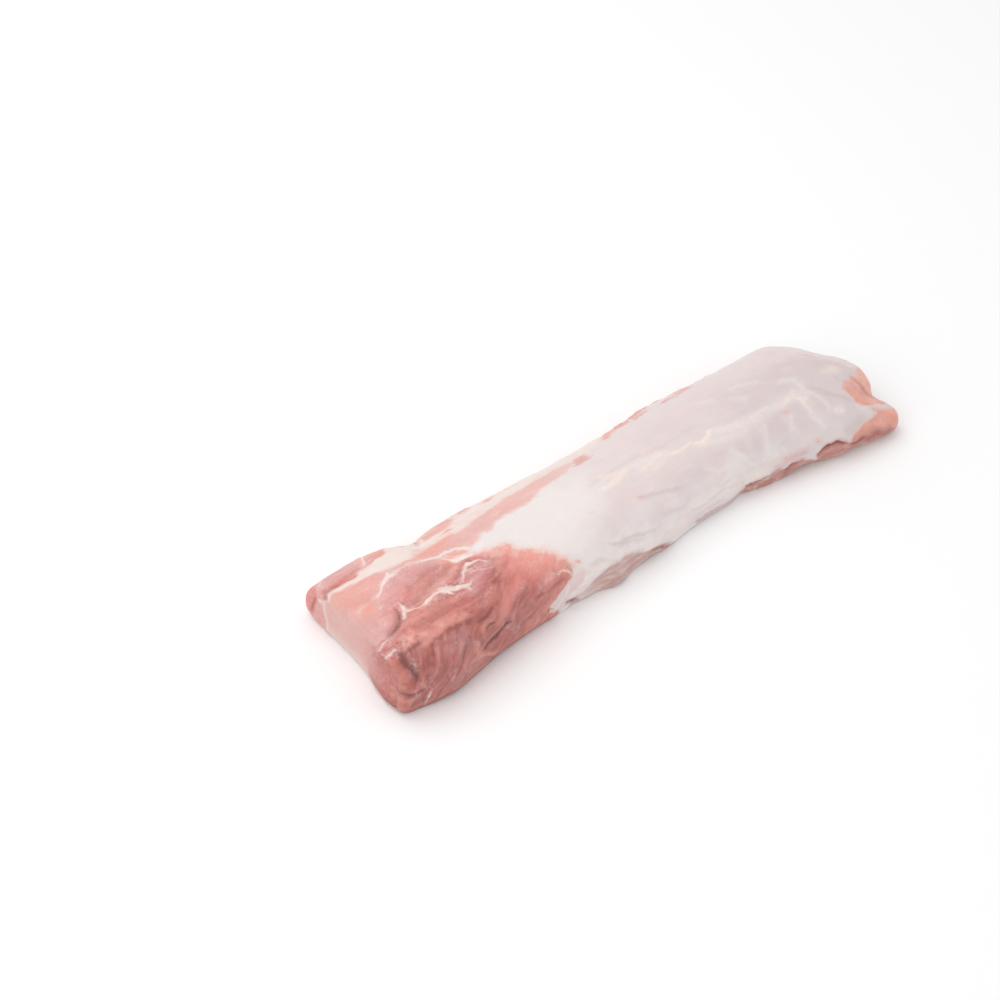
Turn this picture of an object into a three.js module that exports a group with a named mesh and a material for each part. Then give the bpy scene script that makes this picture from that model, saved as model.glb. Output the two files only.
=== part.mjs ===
// Raw boneless pork loin, lying on its rib side with the silverskin up.
// Millimetres, +Z up. The origin is the middle of the footprint on the table. +X runs along the
// loin from the leg end, where the chump muscle caps it, to the rib end. -Y is the thick front
// side, and +Y is the back, where the narrow chain muscle lies along the eye muscle.
import * as THREE from "three";

// ---- driving dimensions -------------------------------------------------------------------
const LENGTH = 600; // leg-end cut face to rib end, before the ends' own bulges
const NOMINAL_GIRTH = 400; // the scale of places counted round the loin
const EDGE_ROUNDING = 7; // radius of the soft edge round each end
const END_REACH = 55; // how far back from each end its bulges fade away
const SPINE_HEIGHT = 14; // height of the line that the cross-sections are drawn about
const UNDERSIDE_SQUARENESS = 3.4; // 2 is an ellipse, and higher is nearer a rectangle
const REST_SKIM = 1.6; // how much of the underside the table presses flat
const MUSCLE_BLEND = 5; // how softly one muscle runs into the next

const SECTIONS = 66; // cross-sections between the two rounded ends
const ROUND = 46; // points round each cross-section
const EDGE_RINGS = 3; // rings over each rounded end edge
const FACE_RINGS = 6; // rings across each end face
const DIRECTIONS = 360; // directions that a cross-section is worked out in

// Sizes that change along the loin, as [distance from the leg end, size].
const FRONT_EDGE = [
  [0, 84], [45, 92], [75, 86], [110, 81], [150, 76], [300, 75], [360, 69], [420, 68], [460, 73],
  [500, 80], [560, 94], [600, 96],
];
const BACK_EDGE = [
  [0, 74], [50, 78], [78, 75], [105, 61], [140, 66], [200, 66], [300, 61], [350, 62], [400, 68],
  [450, 64], [500, 62], [550, 64], [575, 48], [600, 16],
];
const CROWN = [[0, 60], [90, 64], [200, 67], [320, 67], [430, 65], [520, 61], [570, 55], [600, 44]];
const SPINE = [[0, -14], [150, -14], [300, -8], [450, 0], [600, -20]];
const FRONT_SQUARENESS = [[0, 6], [100, 5], [180, 3.6], [300, 2.8], [600, 2.4]];
const BACK_SQUARENESS = [[0, 2.5], [60, 2.4], [140, 1.9], [300, 1.9], [450, 2], [600, 2.4]];

// The chain muscle is a round strip low along the back, and the lip a flap low along the front.
const CHAIN_RADIUS = [[0, 17], [70, 17], [140, 12], [240, 9], [420, 7], [600, 5]];
const LIP_RADIUS = [[0, 4], [450, 4], [520, 12], [600, 14]];

// Bumps and nicks of the low front edge: [distance from the leg end, how far out, how long].
const EDGE_BUMPS = [[200, -2, 9], [250, 8, 14], [421, -4, 12]];

// The chump muscle is a thick cap over the leg end. Its rim, as [place round, distance].
const CAP_THICKNESS = 2.5;
const CAP_RIM = [[-30, 100], [0, 128], [20, 158], [40, 176], [60, 193], [80, 200], [100, 184], [120, 166]];
const RIM_SOFTNESS = 9; // how gradually the cap's rim rises
const GROOVE_DEPTH = 3; // of the groove between the chain and the eye muscle
const GROOVE_WIDTH = 9;
const GROOVE_PLACE = [[0, -48], [60, -52], [100, -58], [300, -62]];
const GROOVE_END = 260;

// ---- curves -------------------------------------------------------------------------------
// Size at a place along the loin: a smooth curve through the listed sizes, with no overshoot.
function along(table, place) {
  const last = table.length - 1;
  if (place <= table[0][0]) return table[0][1];
  if (place >= table[last][0]) return table[last][1];
  const i = table.findIndex(([at]) => at > place) - 1;
  const slope = (k) =>
    k < 0 || k >= last ? 0 : (table[k + 1][1] - table[k][1]) / (table[k + 1][0] - table[k][0]);
  const tangent = (k) => {
    const [before, after] = [slope(k - 1), slope(k)];
    return before * after <= 0 ? 0 : (2 * before * after) / (before + after);
  };
  const span = table[i + 1][0] - table[i][0];
  const t = (place - table[i][0]) / span;
  return (
    (2 * t ** 3 - 3 * t ** 2 + 1) * table[i][1] +
    (t ** 3 - 2 * t ** 2 + t) * tangent(i) * span +
    (3 * t ** 2 - 2 * t ** 3) * table[i + 1][1] +
    (t ** 3 - t ** 2) * tangent(i + 1) * span
  );
}

const hump = (value, middle, width) => Math.exp(-(((value - middle) / width) ** 2));
const clamp = (value) => Math.min(1, Math.max(0, value));
const ease = (value) => clamp(value) ** 2 * (3 - 2 * clamp(value));

// ---- cross-sections -----------------------------------------------------------------------
// How far a round strip of muscle reaches from the spine in one direction, or 0 beside it.
function stripReach(angle, y, z, radius) {
  const offAxis = angle - Math.atan2(z, y);
  const distance = Math.hypot(y, z);
  const chord = radius ** 2 - (distance * Math.sin(offAxis)) ** 2;
  return chord > 0 && Math.cos(offAxis) > 0 ? distance * Math.cos(offAxis) + Math.sqrt(chord) : 0;
}

// The larger of two reaches, with the crease between them softened.
function joinMuscles(body, strip) {
  const share = clamp(0.5 + (0.5 * (strip - body)) / MUSCLE_BLEND);
  return strip > 0 ? body + (strip - body) * share + MUSCLE_BLEND * share * (1 - share) : body;
}

function edgeBump(distance) {
  return EDGE_BUMPS.reduce((sum, [at, out, size]) => sum + out * hump(distance, at, size), 0);
}

// One cross-section as [y, z] points at equal steps round it, from the middle of the underside
// up the back, over the crown and down the front.
function crossSection(distance) {
  const spine = along(SPINE, distance);
  const front = along(FRONT_EDGE, distance) + spine;
  const back = along(BACK_EDGE, distance) - spine;
  const rise = along(CROWN, distance) - SPINE_HEIGHT;
  const chain = along(CHAIN_RADIUS, distance);
  const lip = along(LIP_RADIUS, distance);
  const points = [];
  for (let i = 0; i <= DIRECTIONS; i++) {
    const angle = (i / DIRECTIONS) * 2 * Math.PI - Math.PI / 2;
    const [toBack, up] = [Math.cos(angle), Math.sin(angle)];
    const width = toBack < 0 ? front : back;
    const height = up < 0 ? SPINE_HEIGHT + REST_SKIM : rise;
    const shoulder = along(toBack < 0 ? FRONT_SQUARENESS : BACK_SQUARENESS, distance);
    const power = up < 0 ? UNDERSIDE_SQUARENESS : shoulder;
    let reach = (Math.abs(toBack / width) ** power + Math.abs(up / height) ** power) ** (-1 / power);
    reach = joinMuscles(reach, stripReach(angle, back - chain, chain - SPINE_HEIGHT, chain));
    reach = joinMuscles(reach, stripReach(angle, lip - front, lip - SPINE_HEIGHT, lip));
    const y = spine + reach * toBack;
    const z = Math.max(0, SPINE_HEIGHT + reach * up);
    points.push([y - edgeBump(distance) * clamp(1 - z / 30) * clamp((-y - 20) / 40), z]);
  }
  return evenSteps(points, ROUND);
}

// The same closed outline with a given number of points at equal steps along it.
function evenSteps(points, count) {
  const travelled = [0];
  for (let i = 1; i < points.length; i++) {
    const [before, here] = [points[i - 1], points[i]];
    travelled.push(travelled[i - 1] + Math.hypot(here[0] - before[0], here[1] - before[1]));
  }
  const stepped = [];
  let i = 1;
  for (let k = 0; k < count; k++) {
    const target = (k / count) * travelled[points.length - 1];
    while (travelled[i] < target) i++;
    const share = (target - travelled[i - 1]) / (travelled[i] - travelled[i - 1]);
    stepped.push(points[i - 1].map((value, axis) => value + (points[i][axis] - value) * share));
  }
  return stepped;
}

// ---- relief -------------------------------------------------------------------------------
// How far the surface stands out at a place: round is 0 on top, negative towards the back and
// positive towards the front.
function relief(distance, round) {
  const insideCap = (along(CAP_RIM, round) - distance) / RIM_SOFTNESS;
  const cap = CAP_THICKNESS * ease(insideCap + 0.5) * ease((round + 30) / 20);
  const groove = hump(round, along(GROOVE_PLACE, distance), GROOVE_WIDTH);
  return cap - GROOVE_DEPTH * groove * ease(1 - distance / GROOVE_END);
}

// The cross-section with its relief, moved along its own outward direction in the y-z plane.
function surfaceRing(distance) {
  const points = crossSection(distance);
  return points.map(([y, z], i) => {
    const before = points[(i + ROUND - 1) % ROUND];
    const after = points[(i + 1) % ROUND];
    const [dy, dz] = [after[0] - before[0], after[1] - before[1]];
    const round = (i / ROUND - 0.5) * NOMINAL_GIRTH;
    const out = (relief(distance, round) * ease((z - 4) / 12)) / Math.hypot(dy, dz);
    return [y + dz * out, z - dy * out];
  });
}

// ---- ends ---------------------------------------------------------------------------------
// The leg end is a knife cut that bulges at the low front corner.
function legEndBulge(y, z) {
  return 8.5 * hump(y, -58, 32) * clamp(1.2 - z / 45) + hump(y, 55, 25);
}

// The rib end has the rounded eye muscle, a notch beside it, and the low front lip.
function ribEndBulge(y, z) {
  const eye = 19 * hump(y, -26, 28) * clamp(1.2 - z / 60);
  const notch = 9 * hump(y, -65, 11);
  const lip = 10 * hump(y, -86, 12) * clamp(1.6 - z / 26);
  return eye - notch + lip;
}

// A ring drawn in from the surface by an inset, then shrunk by a share towards its middle.
function ring(distance, inset, share) {
  const points = surfaceRing(distance);
  const widths = points.map(([y]) => y);
  const middle = (Math.max(...widths) + Math.min(...widths)) / 2;
  const halfWidth = (Math.max(...widths) - Math.min(...widths)) / 2;
  const halfHeight = along(CROWN, distance) / 2;
  const centreHeight = along(CROWN, distance) * 0.42;
  return points.map(([sectionY, sectionZ]) => {
    const y = middle + (sectionY - middle) * (1 - inset / halfWidth) * share;
    const z = centreHeight + (sectionZ - centreHeight) * (1 - inset / halfHeight) * share;
    const atLegEnd = ease(1 - distance / END_REACH);
    const atRibEnd = ease(1 - (LENGTH - distance) / END_REACH);
    return [distance - atLegEnd * legEndBulge(y, z) + atRibEnd * ribEndBulge(y, z), y, z];
  });
}

// ---- the loin -----------------------------------------------------------------------------
function loinRings() {
  const rings = [];
  const turn = (k) => ((k / (EDGE_RINGS + 1)) * Math.PI) / 2;
  const edgeAlong = (k) => EDGE_ROUNDING * (1 - Math.cos(turn(k)));
  const edgeInset = (k) => EDGE_ROUNDING * (1 - Math.sin(turn(k)));
  for (let k = 1; k <= FACE_RINGS; k++) rings.push(ring(0, EDGE_ROUNDING, k / FACE_RINGS));
  for (let k = 1; k <= EDGE_RINGS; k++) rings.push(ring(edgeAlong(k), edgeInset(k), 1));
  for (let k = 0; k < SECTIONS; k++) {
    const share = k / (SECTIONS - 1);
    rings.push(ring(EDGE_ROUNDING + share * (LENGTH - 2 * EDGE_ROUNDING), 0, 1));
  }
  for (let k = EDGE_RINGS; k >= 1; k--) rings.push(ring(LENGTH - edgeAlong(k), edgeInset(k), 1));
  for (let k = FACE_RINGS; k >= 1; k--) rings.push(ring(LENGTH, EDGE_ROUNDING, k / FACE_RINGS));
  return rings;
}

// One closed skin through the rings, with a point in the middle of each end face.
function skin(rings) {
  const [legMiddle, ribMiddle] = [ring(0, EDGE_ROUNDING, 0)[0], ring(LENGTH, EDGE_ROUNDING, 0)[0]];
  const vertices = [...rings.flat(), legMiddle, ribMiddle];
  const [legPoint, ribPoint] = [vertices.length - 2, vertices.length - 1];
  const triangles = [];
  for (let i = 0; i < ROUND; i++) {
    const next = (i + 1) % ROUND;
    triangles.push(legPoint, next, i);
    for (let k = 0; k < rings.length - 1; k++) {
      const [a, b] = [k * ROUND + i, k * ROUND + next];
      const [c, d] = [a + ROUND, b + ROUND];
      triangles.push(a, b, c, b, d, c);
    }
    const lastRing = (rings.length - 1) * ROUND;
    triangles.push(ribPoint, lastRing + i, lastRing + next);
  }
  const geometry = new THREE.BufferGeometry();
  geometry.setAttribute("position", new THREE.Float32BufferAttribute(vertices.flat(), 3));
  geometry.setIndex(triangles);
  return geometry;
}

function buildLoin() {
  const geometry = skin(loinRings());
  geometry.computeBoundingBox();
  const middle = geometry.boundingBox.getCenter(new THREE.Vector3());
  geometry.translate(-middle.x, -middle.y, -geometry.boundingBox.min.z);
  geometry.computeVertexNormals();
  const meat = new THREE.MeshStandardMaterial({ color: 0xe3c0b8, roughness: 0.45, metalness: 0 });
  const loin = new THREE.Mesh(geometry, meat);
  loin.name = "pork_loin";
  return loin;
}

const part = new THREE.Group();
part.add(buildLoin());
export default part;
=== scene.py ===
import math

import bpy
import numpy as np
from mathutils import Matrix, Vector, noise


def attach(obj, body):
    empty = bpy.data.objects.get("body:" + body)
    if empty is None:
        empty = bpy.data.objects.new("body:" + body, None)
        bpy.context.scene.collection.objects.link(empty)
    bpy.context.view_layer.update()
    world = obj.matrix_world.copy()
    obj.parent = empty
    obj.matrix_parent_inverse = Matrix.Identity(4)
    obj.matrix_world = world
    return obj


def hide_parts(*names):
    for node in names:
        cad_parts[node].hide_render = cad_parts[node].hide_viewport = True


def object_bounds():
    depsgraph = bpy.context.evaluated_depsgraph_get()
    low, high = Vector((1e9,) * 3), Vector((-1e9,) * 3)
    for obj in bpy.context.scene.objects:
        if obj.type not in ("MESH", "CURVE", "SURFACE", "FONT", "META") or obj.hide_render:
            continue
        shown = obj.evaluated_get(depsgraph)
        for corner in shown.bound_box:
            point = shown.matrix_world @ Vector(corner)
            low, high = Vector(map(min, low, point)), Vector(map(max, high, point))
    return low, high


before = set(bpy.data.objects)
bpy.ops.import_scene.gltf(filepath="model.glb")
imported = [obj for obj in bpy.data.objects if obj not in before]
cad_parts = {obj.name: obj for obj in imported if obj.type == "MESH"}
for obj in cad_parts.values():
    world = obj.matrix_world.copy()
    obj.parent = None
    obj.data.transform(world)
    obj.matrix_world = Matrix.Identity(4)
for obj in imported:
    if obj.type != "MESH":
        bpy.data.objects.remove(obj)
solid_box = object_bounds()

# ---- The loin's form ----------------------------------------------------------------------
# A whole boneless pork loin: one long muscle, the eye, wrapped in silverskin. A knife cut squares
# off the leg end, where a red muscle caps it. The chain muscle is grown on along the back, and a
# thin lip of meat along the front.

# Places on the loin are counted in millimetres: the distance from the leg end, and the way round
# from the top line, negative towards the back and positive towards the front.
LENGTH = 600.0
NOMINAL_GIRTH = 400.0
SPINE_HEIGHT = 14.0
UNDERSIDE_SQUARENESS = 3.4
REST_SKIM = 1.6
MUSCLE_BLEND = 5.0
END_REACH = 55.0
LEG_EDGE_ROUNDING = 6.0
RIB_EDGE_ROUNDING = 8.0
FACE_CENTRE = 0.42

SECTION_SPACING = [(0, 1.25), (200, 1.35), (260, 2.3), (520, 2.3), (600, 1.6)]
ROUND = 256
UNDERSIDE_SHARE = 0.55
EDGE_RINGS = 5
LEG_FACE_RINGS = 24
RIB_FACE_RINGS = 13
DIRECTIONS = 900

FRONT_EDGE = [
    (0, 84), (45, 92), (75, 86), (110, 81), (150, 76), (300, 75), (360, 69), (420, 68), (460, 73),
    (500, 80), (560, 94), (600, 96)]
BACK_EDGE = [
    (0, 74), (50, 78), (78, 75), (105, 61), (140, 66), (200, 66), (300, 61), (350, 62), (400, 68),
    (450, 64), (500, 62), (550, 62), (575, 44), (600, 12)]
CROWN = [(0, 60), (90, 64), (200, 67), (320, 67), (430, 65), (520, 61), (570, 53), (600, 40)]
SPINE = [(0, -14), (150, -14), (300, -8), (450, 0), (600, -20)]
FRONT_SQUARENESS = [(0, 6), (100, 5), (180, 3.6), (300, 2.8), (600, 2.4)]
BACK_SQUARENESS = [(0, 2.5), (60, 2.4), (140, 1.9), (300, 1.9), (450, 2), (600, 2.4)]
CHAIN_RADIUS = [(0, 17), (70, 17), (140, 12), (240, 9), (420, 7), (600, 5)]
LIP_RADIUS = [(0, 4), (450, 4), (520, 12), (600, 14)]
EDGE_BUMPS = [(200, -2, 9), (250, 8, 14), (421, -4, 12)]
# Where the cut ends stand out or draw in: (how far, place across, half width).
LEG_FRONT_CORNER = (8.5, -58, 32)
LEG_BACK_CORNER = (1, 55, 25)
RIB_EYE = (19, -26, 28)
RIB_NOTCH = (-6, -65, 11)
RIB_LIP = (8, -86, 12)
# Where the lower edges curl up off the table: (distance, rise, half length).
EDGE_LIFTS = [
    (46, 2.5, 14), (108, 2.5, 16), (252, 4, 9), (296, 5, 13), (375, 2, 20), (492, 6, 18), (548, 5, 11)]


def along(table, place):
    """Size at a place: a smooth curve through the listed sizes, with no overshoot."""
    at, size = np.array(table, float).T
    slope = np.diff(size) / np.diff(at)
    before, after = np.r_[0, slope], np.r_[slope, 0]
    turns = before * after <= 0
    tangent = np.where(turns, 0, 2 * before * after / np.where(turns, 1, before + after))
    i = np.clip(np.searchsorted(at, place, side="right") - 1, 0, len(at) - 2)
    span = at[i + 1] - at[i]
    t = np.clip((place - at[i]) / span, 0, 1)
    start = (2 * t**3 - 3 * t**2 + 1) * size[i] + (t**3 - 2 * t**2 + t) * span * tangent[i]
    end = (3 * t**2 - 2 * t**3) * size[i + 1] + (t**3 - t**2) * span * tangent[i + 1]
    return start + end


def hump(value, middle, width):
    """1 at the middle, and falling away smoothly on both sides of it."""
    return np.exp(-(((value - middle) / width) ** 2))


def ease(value):
    """0 below 0, 1 above 1, and eased between them."""
    value = np.clip(value, 0, 1)
    return value**2 * (3 - 2 * value)


def join_strip(reach, angle, y, z, radius):
    """The larger of the body's reach and a round strip's, with the crease between them soft."""
    off_axis = angle - np.arctan2(z, y)
    away = np.hypot(y, z)
    chord = radius**2 - (away * np.sin(off_axis)) ** 2
    hit = (chord > 0) & (np.cos(off_axis) > 0)
    strip = np.where(hit, away * np.cos(off_axis) + np.sqrt(np.maximum(chord, 0)), 0)
    share = np.clip(0.5 + 0.5 * (strip - reach) / MUSCLE_BLEND, 0, 1) * hit
    return reach + (strip - reach) * share + MUSCLE_BLEND * share * (1 - share)


def round_steps():
    """Shares of the way round, from the middle of the underside up the back, over the crown and
    down the front, with wider steps along the underside."""
    at = np.linspace(0, 1, 401)
    density = 1 - (1 - UNDERSIDE_SHARE) * (1 - ease((at - 0.2) / 0.06) * ease((0.83 - at) / 0.06))
    travelled = np.r_[0, np.cumsum((density[1:] + density[:-1]) / 2)]
    return np.interp(np.arange(ROUND) / ROUND * travelled[-1], travelled, at)


def cross_sections(distance, steps):
    """Outlines as (rings, ROUND) arrays of y and z, stepped off along the skin."""
    distance = distance[:, None]
    angle = np.linspace(-math.pi / 2, 1.5 * math.pi, DIRECTIONS + 1)[None]
    to_back, up = np.cos(angle), np.sin(angle)
    spine = along(SPINE, distance)
    front = along(FRONT_EDGE, distance) + spine
    back = along(BACK_EDGE, distance) - spine
    chain = along(CHAIN_RADIUS, distance)
    lip = along(LIP_RADIUS, distance)
    width = np.where(to_back < 0, front, back)
    height = np.where(up < 0, SPINE_HEIGHT + REST_SKIM, along(CROWN, distance) - SPINE_HEIGHT)
    shoulder = np.where(to_back < 0, along(FRONT_SQUARENESS, distance), along(BACK_SQUARENESS, distance))
    power = np.where(up < 0, UNDERSIDE_SQUARENESS, shoulder)
    reach = (np.abs(to_back / width) ** power + np.abs(up / height) ** power) ** (-1 / power)
    reach = join_strip(reach, angle, back - chain, chain - SPINE_HEIGHT, chain)
    reach = join_strip(reach, angle, lip - front, lip - SPINE_HEIGHT, lip)
    y = spine + reach * to_back
    z = np.maximum(0, SPINE_HEIGHT + reach * up)
    bump = sum(out * hump(distance, at, size) for at, out, size in EDGE_BUMPS)
    y = y - bump * np.clip(1 - z / 30, 0, 1) * np.clip((-y - 20) / 40, 0, 1)
    travelled = np.cumsum(np.hypot(np.diff(y, axis=1), np.diff(z, axis=1)), axis=1)
    travelled = np.concatenate([np.zeros((len(y), 1)), travelled], axis=1)
    even = []
    for ring_y, ring_z, ring_travelled in zip(y, z, travelled):
        at = steps * ring_travelled[-1]
        even.append((np.interp(at, ring_travelled, ring_y), np.interp(at, ring_travelled, ring_z)))
    return np.array(even).transpose(1, 0, 2)


def swelling(y, size):
    """One swelling's height at every place across the loin."""
    out, place, half_width = size
    return out * hump(y, place, half_width)


def ends_bulge(distance, y, z):
    """How far the ends stand out lengthwise: the leg end's low front corner, and the rib end's
    rounded eye with a notch between it and the front lip."""
    leg = swelling(y, LEG_FRONT_CORNER) * np.clip(1.2 - z / 45, 0, 1) + swelling(y, LEG_BACK_CORNER)
    eye = swelling(y, RIB_EYE) * np.clip(1.2 - z / 60, 0, 1)
    lip = swelling(y, RIB_LIP) * np.clip(1.6 - z / 26, 0, 1)
    rib = eye + lip + swelling(y, RIB_NOTCH)
    return ease(1 - (LENGTH - distance) / END_REACH) * rib - ease(1 - distance / END_REACH) * leg


def body_stations(start, end):
    """Distances from start to end, closer together where there is more to show."""
    at = np.linspace(start, end, 1201)
    count = np.r_[0, np.cumsum(np.diff(at) / along(SECTION_SPACING, at[1:]))]
    return np.interp(np.linspace(0, count[-1], round(count[-1])), count, at)


def ring_plan():
    """Every ring's distance along the loin, inset from the surface and share of its full size."""
    turn = np.linspace(0, math.pi / 2, EDGE_RINGS + 2)[1:-1]
    shares = np.linspace(0, 1, LEG_FACE_RINGS + 1)[1:]
    rib_shares = np.linspace(0, 1, RIB_FACE_RINGS + 1)[1:]
    leg, rib = LEG_EDGE_ROUNDING, RIB_EDGE_ROUNDING
    body = body_stations(leg, LENGTH - rib)
    distance = np.r_[shares * 0, leg * (1 - np.cos(turn)), body,
                     LENGTH - rib * (1 - np.cos(turn[::-1])), rib_shares * 0 + LENGTH]
    inset = np.r_[shares * 0 + leg, leg * (1 - np.sin(turn)), body * 0,
                  rib * (1 - np.sin(turn[::-1])), rib_shares * 0 + rib]
    share = np.r_[shares, turn * 0 + 1, body * 0 + 1, turn * 0 + 1, rib_shares[::-1]]
    return distance, inset, share


steps = round_steps()
distance, inset, share = ring_plan()
section_y, section_z = cross_sections(distance, steps)
middle = (section_y.max(1) + section_y.min(1))[:, None] / 2
half_width = (section_y.max(1) - section_y.min(1))[:, None] / 2
crown = along(CROWN, distance)[:, None]
y = middle + (section_y - middle) * (1 - inset[:, None] / half_width) * share[:, None]
ring_centre = FACE_CENTRE * crown
z = ring_centre + (section_z - ring_centre) * (1 - 2 * inset[:, None] / crown) * share[:, None]
x = distance[:, None] + ends_bulge(distance[:, None], y, z)
surface = np.stack([x, y, z], -1)

along_place = np.tile(distance[:, None], (1, ROUND))
round_place = np.tile((steps - 0.5) * NOMINAL_GIRTH, (len(distance), 1))
belly_place = round_place - NOMINAL_GIRTH / 2 * np.sign(round_place)
on_leg_face = (along_place == 0) & (share[:, None] < 1)
on_rib_face = (along_place == LENGTH) & (share[:, None] < 1)


# ---- The muscle map -----------------------------------------------------------------------
# Over the leg end lie the red cap, a rounder muscle beside it and a bare strip of the eye muscle.
# Cream fat and the chain run along the back, and red meat shows where silverskin was cut away.
# All are grown together, so they are one piece.

# Each outline is a list of (distance, round) places.
CAP = [
    (-8, 50), (10, 38), (30, 27), (40, 21), (60, 23), (85, 21), (104, 9), (112, 1), (124, 3), (136, 10),
    (147, 17), (160, 23), (164, 31), (166, 38), (177, 42), (177, 49), (184, 54), (188, 59), (187, 66),
    (195, 70), (199, 80), (197, 88), (191, 91), (182, 99), (175, 108), (169, 114), (177, 122), (177, 134),
    (120, 150), (-8, 150)]
MIDDLE_MUSCLE = [
    (-8, -6), (18, -9), (34, -11), (45, -18), (60, -20), (85, -20), (98, -22), (107, -14), (110, -5),
    (118, 0), (128, 4), (112, 14), (85, 24), (60, 26), (40, 22), (20, 32), (-8, 50)]
BARE_EYE = [
    (-8, -43), (20, -41), (40, -38), (55, -33), (66, -29), (80, -28), (90, -33), (100, -41), (112, -43),
    (124, -40), (136, -32), (150, -31), (165, -34), (180, -36), (200, -40), (225, -42), (250, -49),
    (262, -50), (276, -49), (284, -43), (276, -36), (266, -32), (248, -29), (232, -21), (210, -13),
    (190, -13), (172, -12), (162, -5), (154, -8), (143, -3), (130, -6), (118, -20), (105, -25), (85, -22),
    (60, -23), (45, -20), (34, -12), (-8, -4)]
CREAM_FAT = [
    (-8, -48), (20, -48), (38, -49), (54, -50), (62, -60), (74, -66), (79, -76), (84, -104), (150, -100),
    (240, -96), (310, -84), (335, -72), (330, -56), (312, -52), (284, -52), (262, -50), (225, -42),
    (200, -40), (180, -36), (165, -34), (150, -31), (136, -32), (124, -40), (112, -43), (100, -41),
    (90, -33), (80, -28), (66, -29), (55, -33), (40, -38), (-8, -41)]
CHAIN = [
    (-8, -46), (6, -48), (20, -49), (38, -50), (56, -51), (74, -53), (78, -62), (80, -84), (74, -112),
    (50, -126), (-8, -128)]
CHAIN_STRIP = [
    (60, -108), (78, -104), (118, -99), (160, -95), (200, -93), (250, -90), (300, -83), (330, -74),
    (352, -66), (372, -64), (400, -66), (440, -70), (480, -78), (530, -88), (562, -100), (580, -118),
    (588, -150), (560, -164), (500, -168), (400, -166), (300, -169), (200, -166), (100, -168), (30, -165),
    (-8, -167), (-8, -120), (40, -118)]
SIDE_LENS = [
    (196, 128), (205, 120), (216, 113), (228, 105), (238, 98), (248, 93), (258, 94), (268, 98),
    (280, 103), (288, 109), (298, 114), (310, 115), (322, 120), (330, 130), (300, 140), (200, 140)]
BACK_LEAN = [
    [(90, -72), (94, -66), (103, -62), (110, -64), (112, -74), (104, -84), (92, -84)],
    [(108, -18), (113, -20), (121, -10), (129, -1), (123, 3), (113, -8)],
    [(112, -104), (113, -72), (118, -60), (127, -54), (131, -45), (135, -42), (141, -49), (151, -55),
     (158, -68), (156, -100)],
    [(159, -100), (157, -72), (162, -62), (170, -62), (178, -68), (184, -98)],
    [(189, -53), (194, -64), (199, -66), (198, -54)], [(216, -62), (224, -70), (232, -64), (226, -58)],
    [(281, -32), (286, -46), (296, -51), (299, -42), (291, -33)],
    [(332, -56), (336, -68), (344, -82), (360, -84), (372, -70), (366, -60), (350, -58)],
    [(372, -56), (380, -66), (392, -84), (404, -84), (398, -60), (384, -52)],
    [(408, -51), (418, -60), (438, -68), (446, -62), (430, -52)]]
RIB_RAW = [
    [(606, -66), (597, -48), (590, -22), (584, -4), (576, 14), (567, 28), (563, 37), (566, 46), (565, 56),
     (574, 58), (584, 48), (594, 36), (606, 30)],
    [(540, 97), (550, 90), (562, 83), (574, 73), (582, 62), (590, 51), (598, 44), (612, 42), (614, 120),
     (580, 136), (552, 126)],
    [(422, 126), (425, 114), (430, 109), (438, 108), (448, 107), (455, 103), (462, 100), (472, 101),
     (480, 99), (490, 103), (500, 107), (510, 128), (470, 134)],
    [(503, 104), (509, 94), (520, 92), (530, 95), (540, 99), (552, 106), (556, 122), (530, 132),
     (506, 126)]]
FASCIA = [
    (124, 2), (150, -2), (178, -10), (212, -12), (240, -14), (262, -2), (256, 22), (236, 44), (214, 66),
    (203, 72), (194, 54), (181, 44), (168, 34), (160, 20), (140, 9)]
MEMBRANE = [
    (177, 128), (172, 118), (170, 113), (178, 104), (186, 94), (194, 90), (202, 88), (212, 92),
    (206, 104), (194, 116), (190, 126)]


def rounded(outline, steps=4):
    """The same closed outline with its corners rounded: a smooth curve through its points."""
    points = np.array(outline, float)
    before, after, beyond = np.roll(points, 1, 0), np.roll(points, -1, 0), np.roll(points, -2, 0)
    curve = []
    for t in np.arange(steps) / steps:
        curve.append(0.5 * (2 * points + (after - before) * t
                            + (2 * before - 5 * points + 4 * after - beyond) * t**2
                            + (3 * points - before - 3 * after + beyond) * t**3))
    return np.stack(curve, 1).reshape(-1, 2)


def lumps(place, scale, seed, stretch=(1.0, 1.0, 1.0), octaves=3):
    """Uneven lumps from -1 to 1 at every place, about one per scale millimetres."""
    flat = place.reshape(-1, 3) / scale / np.array(stretch) + seed
    values = [noise.fractal(Vector(spot), 1.0, 2.0, octaves) for spot in flat]
    return np.array(values).reshape(place.shape[:2])


# Places with a slight waver, so that no outline or line is smooth.
WAVER, WAVER_SCALE = 1.8, 9
map_along = along_place + WAVER * lumps(surface, WAVER_SCALE, 11.3)
map_round = round_place + WAVER * lumps(surface, WAVER_SCALE, 23.9)
map_belly = belly_place + WAVER * lumps(surface, WAVER_SCALE, 31.7)


def segment_distance(start, end, across=map_round):
    """How far every place is from one stretch of line, and how far along the stretch it lies."""
    (ax, ar), (bx, br) = start, end
    length = max((bx - ax) ** 2 + (br - ar) ** 2, 1e-9)
    t = np.clip(((map_along - ax) * (bx - ax) + (across - ar) * (br - ar)) / length, 0, 1)
    return np.hypot(map_along - ax - t * (bx - ax), across - ar - t * (br - ar)), t


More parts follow.
